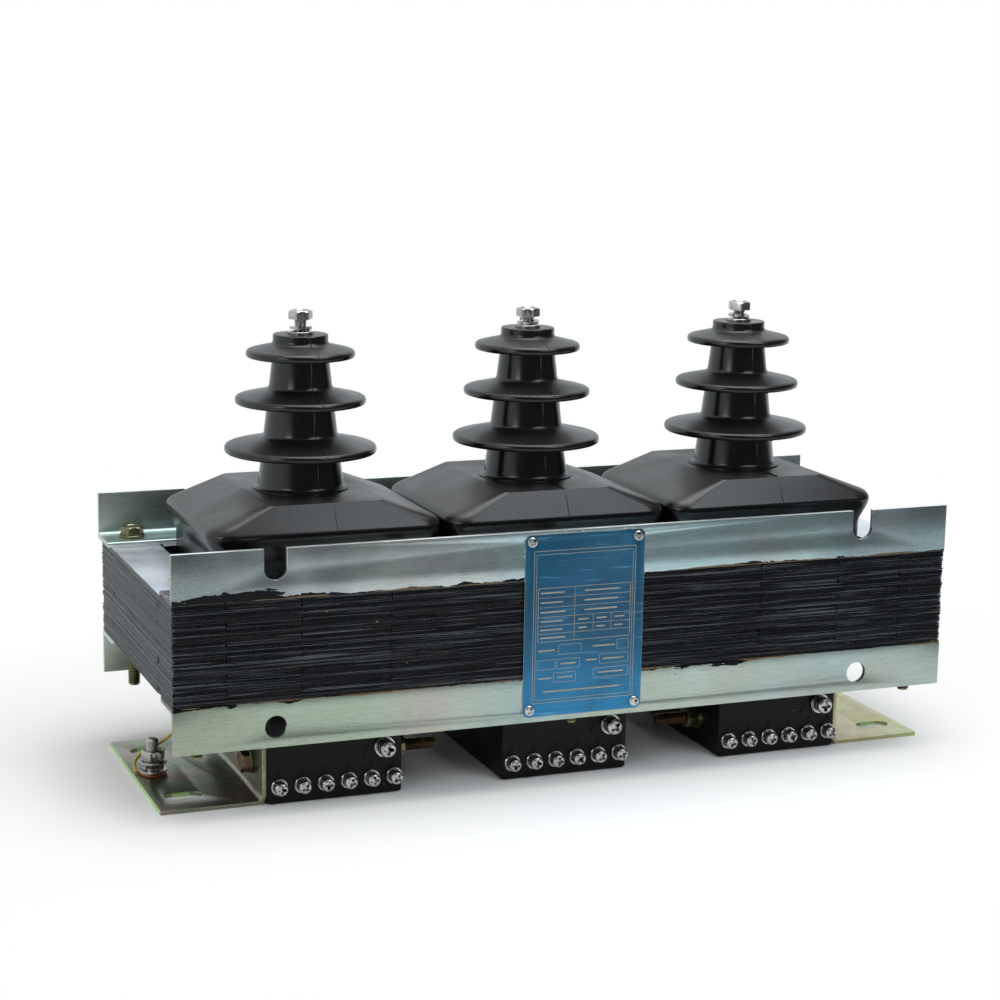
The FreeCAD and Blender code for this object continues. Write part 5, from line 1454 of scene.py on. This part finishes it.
class FootBoltsOperator(bpy.types.Operator):
    """Set the long bolts through the outer blocks and feet"""
    bl_idname = "transformer.foot_bolts"
    bl_label = "Foot bolts"

    def execute(self, context):
        pitch = context.scene.transformer_sizes.thread_pitch
        yellow = finish_of("yellow_zinc")
        outside = low("right_foot").x + FOOT_WALL
        inside = AXES["right"] - BLOCK_HALF[0] * MM
        bolts, washers, springs, nuts = [], [], [], []
        for side, outward, inward in ((-1, TO_LEFT, TO_RIGHT), (1, TO_RIGHT, TO_LEFT)):
            for place in ((-FOOT_BOLT_SPREAD, FOOT_BOLT_LEVEL), (FOOT_BOLT_SPREAD, FOOT_BOLT_LEVEL)):
                bolts.append(((side * (outside + WASHER_WALL), *place), outward))
                washers += [((side * outside, *place), outward), ((side * inside, *place), inward)]
                springs.append(((side * (inside - WASHER_WALL - SPRING_CLEARANCE), *place), inward))
                nuts.append(((side * (inside - STACK_HEIGHT), *place), inward))
        bolt = hexagon_bolt("foot_bolt", 120 * MM, 82 * MM, pitch)
        set_fasteners("long_foot_bolts", bolt, bolts, finish_of("thread_zinc"), "yellow_zinc", "foot_bolts",
                      roll=1)
        washer = ring_washer("foot_washer", *WASHER)
        set_fasteners("long_foot_washers", washer, washers, yellow, "yellow_zinc", "foot_bolt_washers")
        spring = split_washer("foot_spring", *SPRING_RING, 1.9 * MM, 0.3 * MM)
        set_fasteners("long_foot_spring_washers", spring, springs, yellow, "yellow_zinc",
                      "foot_bolt_spring_washers", roll=3)
        set_fasteners("long_foot_nuts", hexagon_nut("foot_nut"), nuts, yellow, "yellow_zinc", "foot_bolt_nuts",
                      roll=1)
        return {"FINISHED"}


class EarthStudOperator(bpy.types.Operator):
    """Set the earth stud and what is stacked on it"""
    bl_idname = "transformer.earth_stud"
    bl_label = "Earth stud"

    def execute(self, context):
        pitch = context.scene.transformer_sizes.thread_pitch
        stud = (low("earth_stud") + high("earth_stud")) / 2
        steel = finish_of("stainless")
        shell = bmesh.new()
        threaded_rod(shell, THREAD_RADIUS, 0, high("earth_stud").z, pitch)
        mesh = moved(finish_mesh(shell, "threaded_stud", 30), Matrix.Translation((stud.x, stud.y, 0)))
        piece("threaded_stud", mesh, "yellow_zinc", "earth_stud", materials=[steel])
        base = low("earth_washers").z
        washer = ring_washer("earth_washer", 8.7 * MM, *WASHER[1:], 0.35 * MM)
        seats = [((stud.x, stud.y, level), UP) for level in (base, high("earth_washers").z - WASHER_WALL)]
        set_fasteners("stud_washers", washer, seats, steel, "yellow_zinc", "earth_washers")
        spring = split_washer("earth_spring", 6.85 * MM, 4.4 * MM, 2.1 * MM, 2.05 * MM)
        seats = [((stud.x, stud.y, base + WASHER_WALL + SPRING_CLEARANCE), (0, 0, 3.9))]
        set_fasteners("stud_spring_washer", spring, seats, steel, "yellow_zinc", "earth_spring_washer",
                      roll=0.0)
        seats = [((stud.x, stud.y, low("earth_nut").z), (0, 0, 0.6))]
        set_fasteners("stud_nut", hexagon_nut("stud_nut"), seats, steel, "yellow_zinc", "earth_nut", roll=0.0)
        return {"FINISHED"}


class RatingPlateOperator(bpy.types.Operator):
    """Fix the rating plate to the front"""
    bl_idname = "transformer.rating_plate"
    bl_label = "Rating plate"

    def execute(self, context):
        rating_plate()
        return {"FINISHED"}


class InnerPartsOperator(bpy.types.Operator):
    """Give the windings, formers, conductors and inserts their finishes"""
    bl_idname = "transformer.inner_parts"
    bl_label = "Inner parts"

    def execute(self, context):
        inner = {"high_voltage_conductors": "brass", "terminal_inserts": "brass", "neutral_inserts": "brass"}
        for phase in PHASES:
            inner.update({f"{phase}_winding_former": "former", f"{phase}_secondary_winding": "copper",
                          f"{phase}_primary_winding": "copper"})
        for label, key in inner.items():
            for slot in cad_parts[label].material_slots:
                slot.material = finish_of(key)
        return {"FINISHED"}


class TransformerPanel(bpy.types.Panel):
    """Lists the pieces of the transformer"""
    bl_idname = "VIEW3D_PT_transformer"
    bl_label = "Voltage transformer"
    bl_space_type = "VIEW_3D"
    bl_region_type = "UI"
    bl_category = "Transformer"

    def draw(self, context):
        for settings in (context.scene.transformer_sizes, context.scene.transformer_colours,
                         context.scene.transformer_stage):
            box = self.layout.box()
            for name in settings.__annotations__:
                box.prop(settings, name)
        for operator in OPERATORS:
            self.layout.operator(operator.bl_idname)


GROUPS = {"transformer_sizes": TransformerSizes, "transformer_colours": TransformerColours,
          "transformer_stage": StageSettings}
OPERATORS = (StageOperator, EarthWireOperator, CastingsOperator, CoreOperator, AnglesOperator, FeetOperator,
             HighVoltageOperator, ScrewTerminalsOperator, ClampBoltsOperator, FootBoltsOperator, EarthStudOperator,
             RatingPlateOperator, InnerPartsOperator)


def register():
    for group in GROUPS.values():
        bpy.utils.register_class(group)
    for name, group in GROUPS.items():
        setattr(bpy.types.Scene, name, bpy.props.PointerProperty(type=group))
    for operator in OPERATORS:
        bpy.utils.register_class(operator)
    bpy.utils.register_class(TransformerPanel)


def unregister():
    bpy.utils.unregister_class(TransformerPanel)
    for operator in reversed(OPERATORS):
        bpy.utils.unregister_class(operator)
    for name, group in GROUPS.items():
        delattr(bpy.types.Scene, name)
        bpy.utils.unregister_class(group)


def main():
    register()
    for operator in OPERATORS:
        family, name = operator.bl_idname.split(".")
        getattr(getattr(bpy.ops, family), name)()


if __name__ == "__main__":
    main()
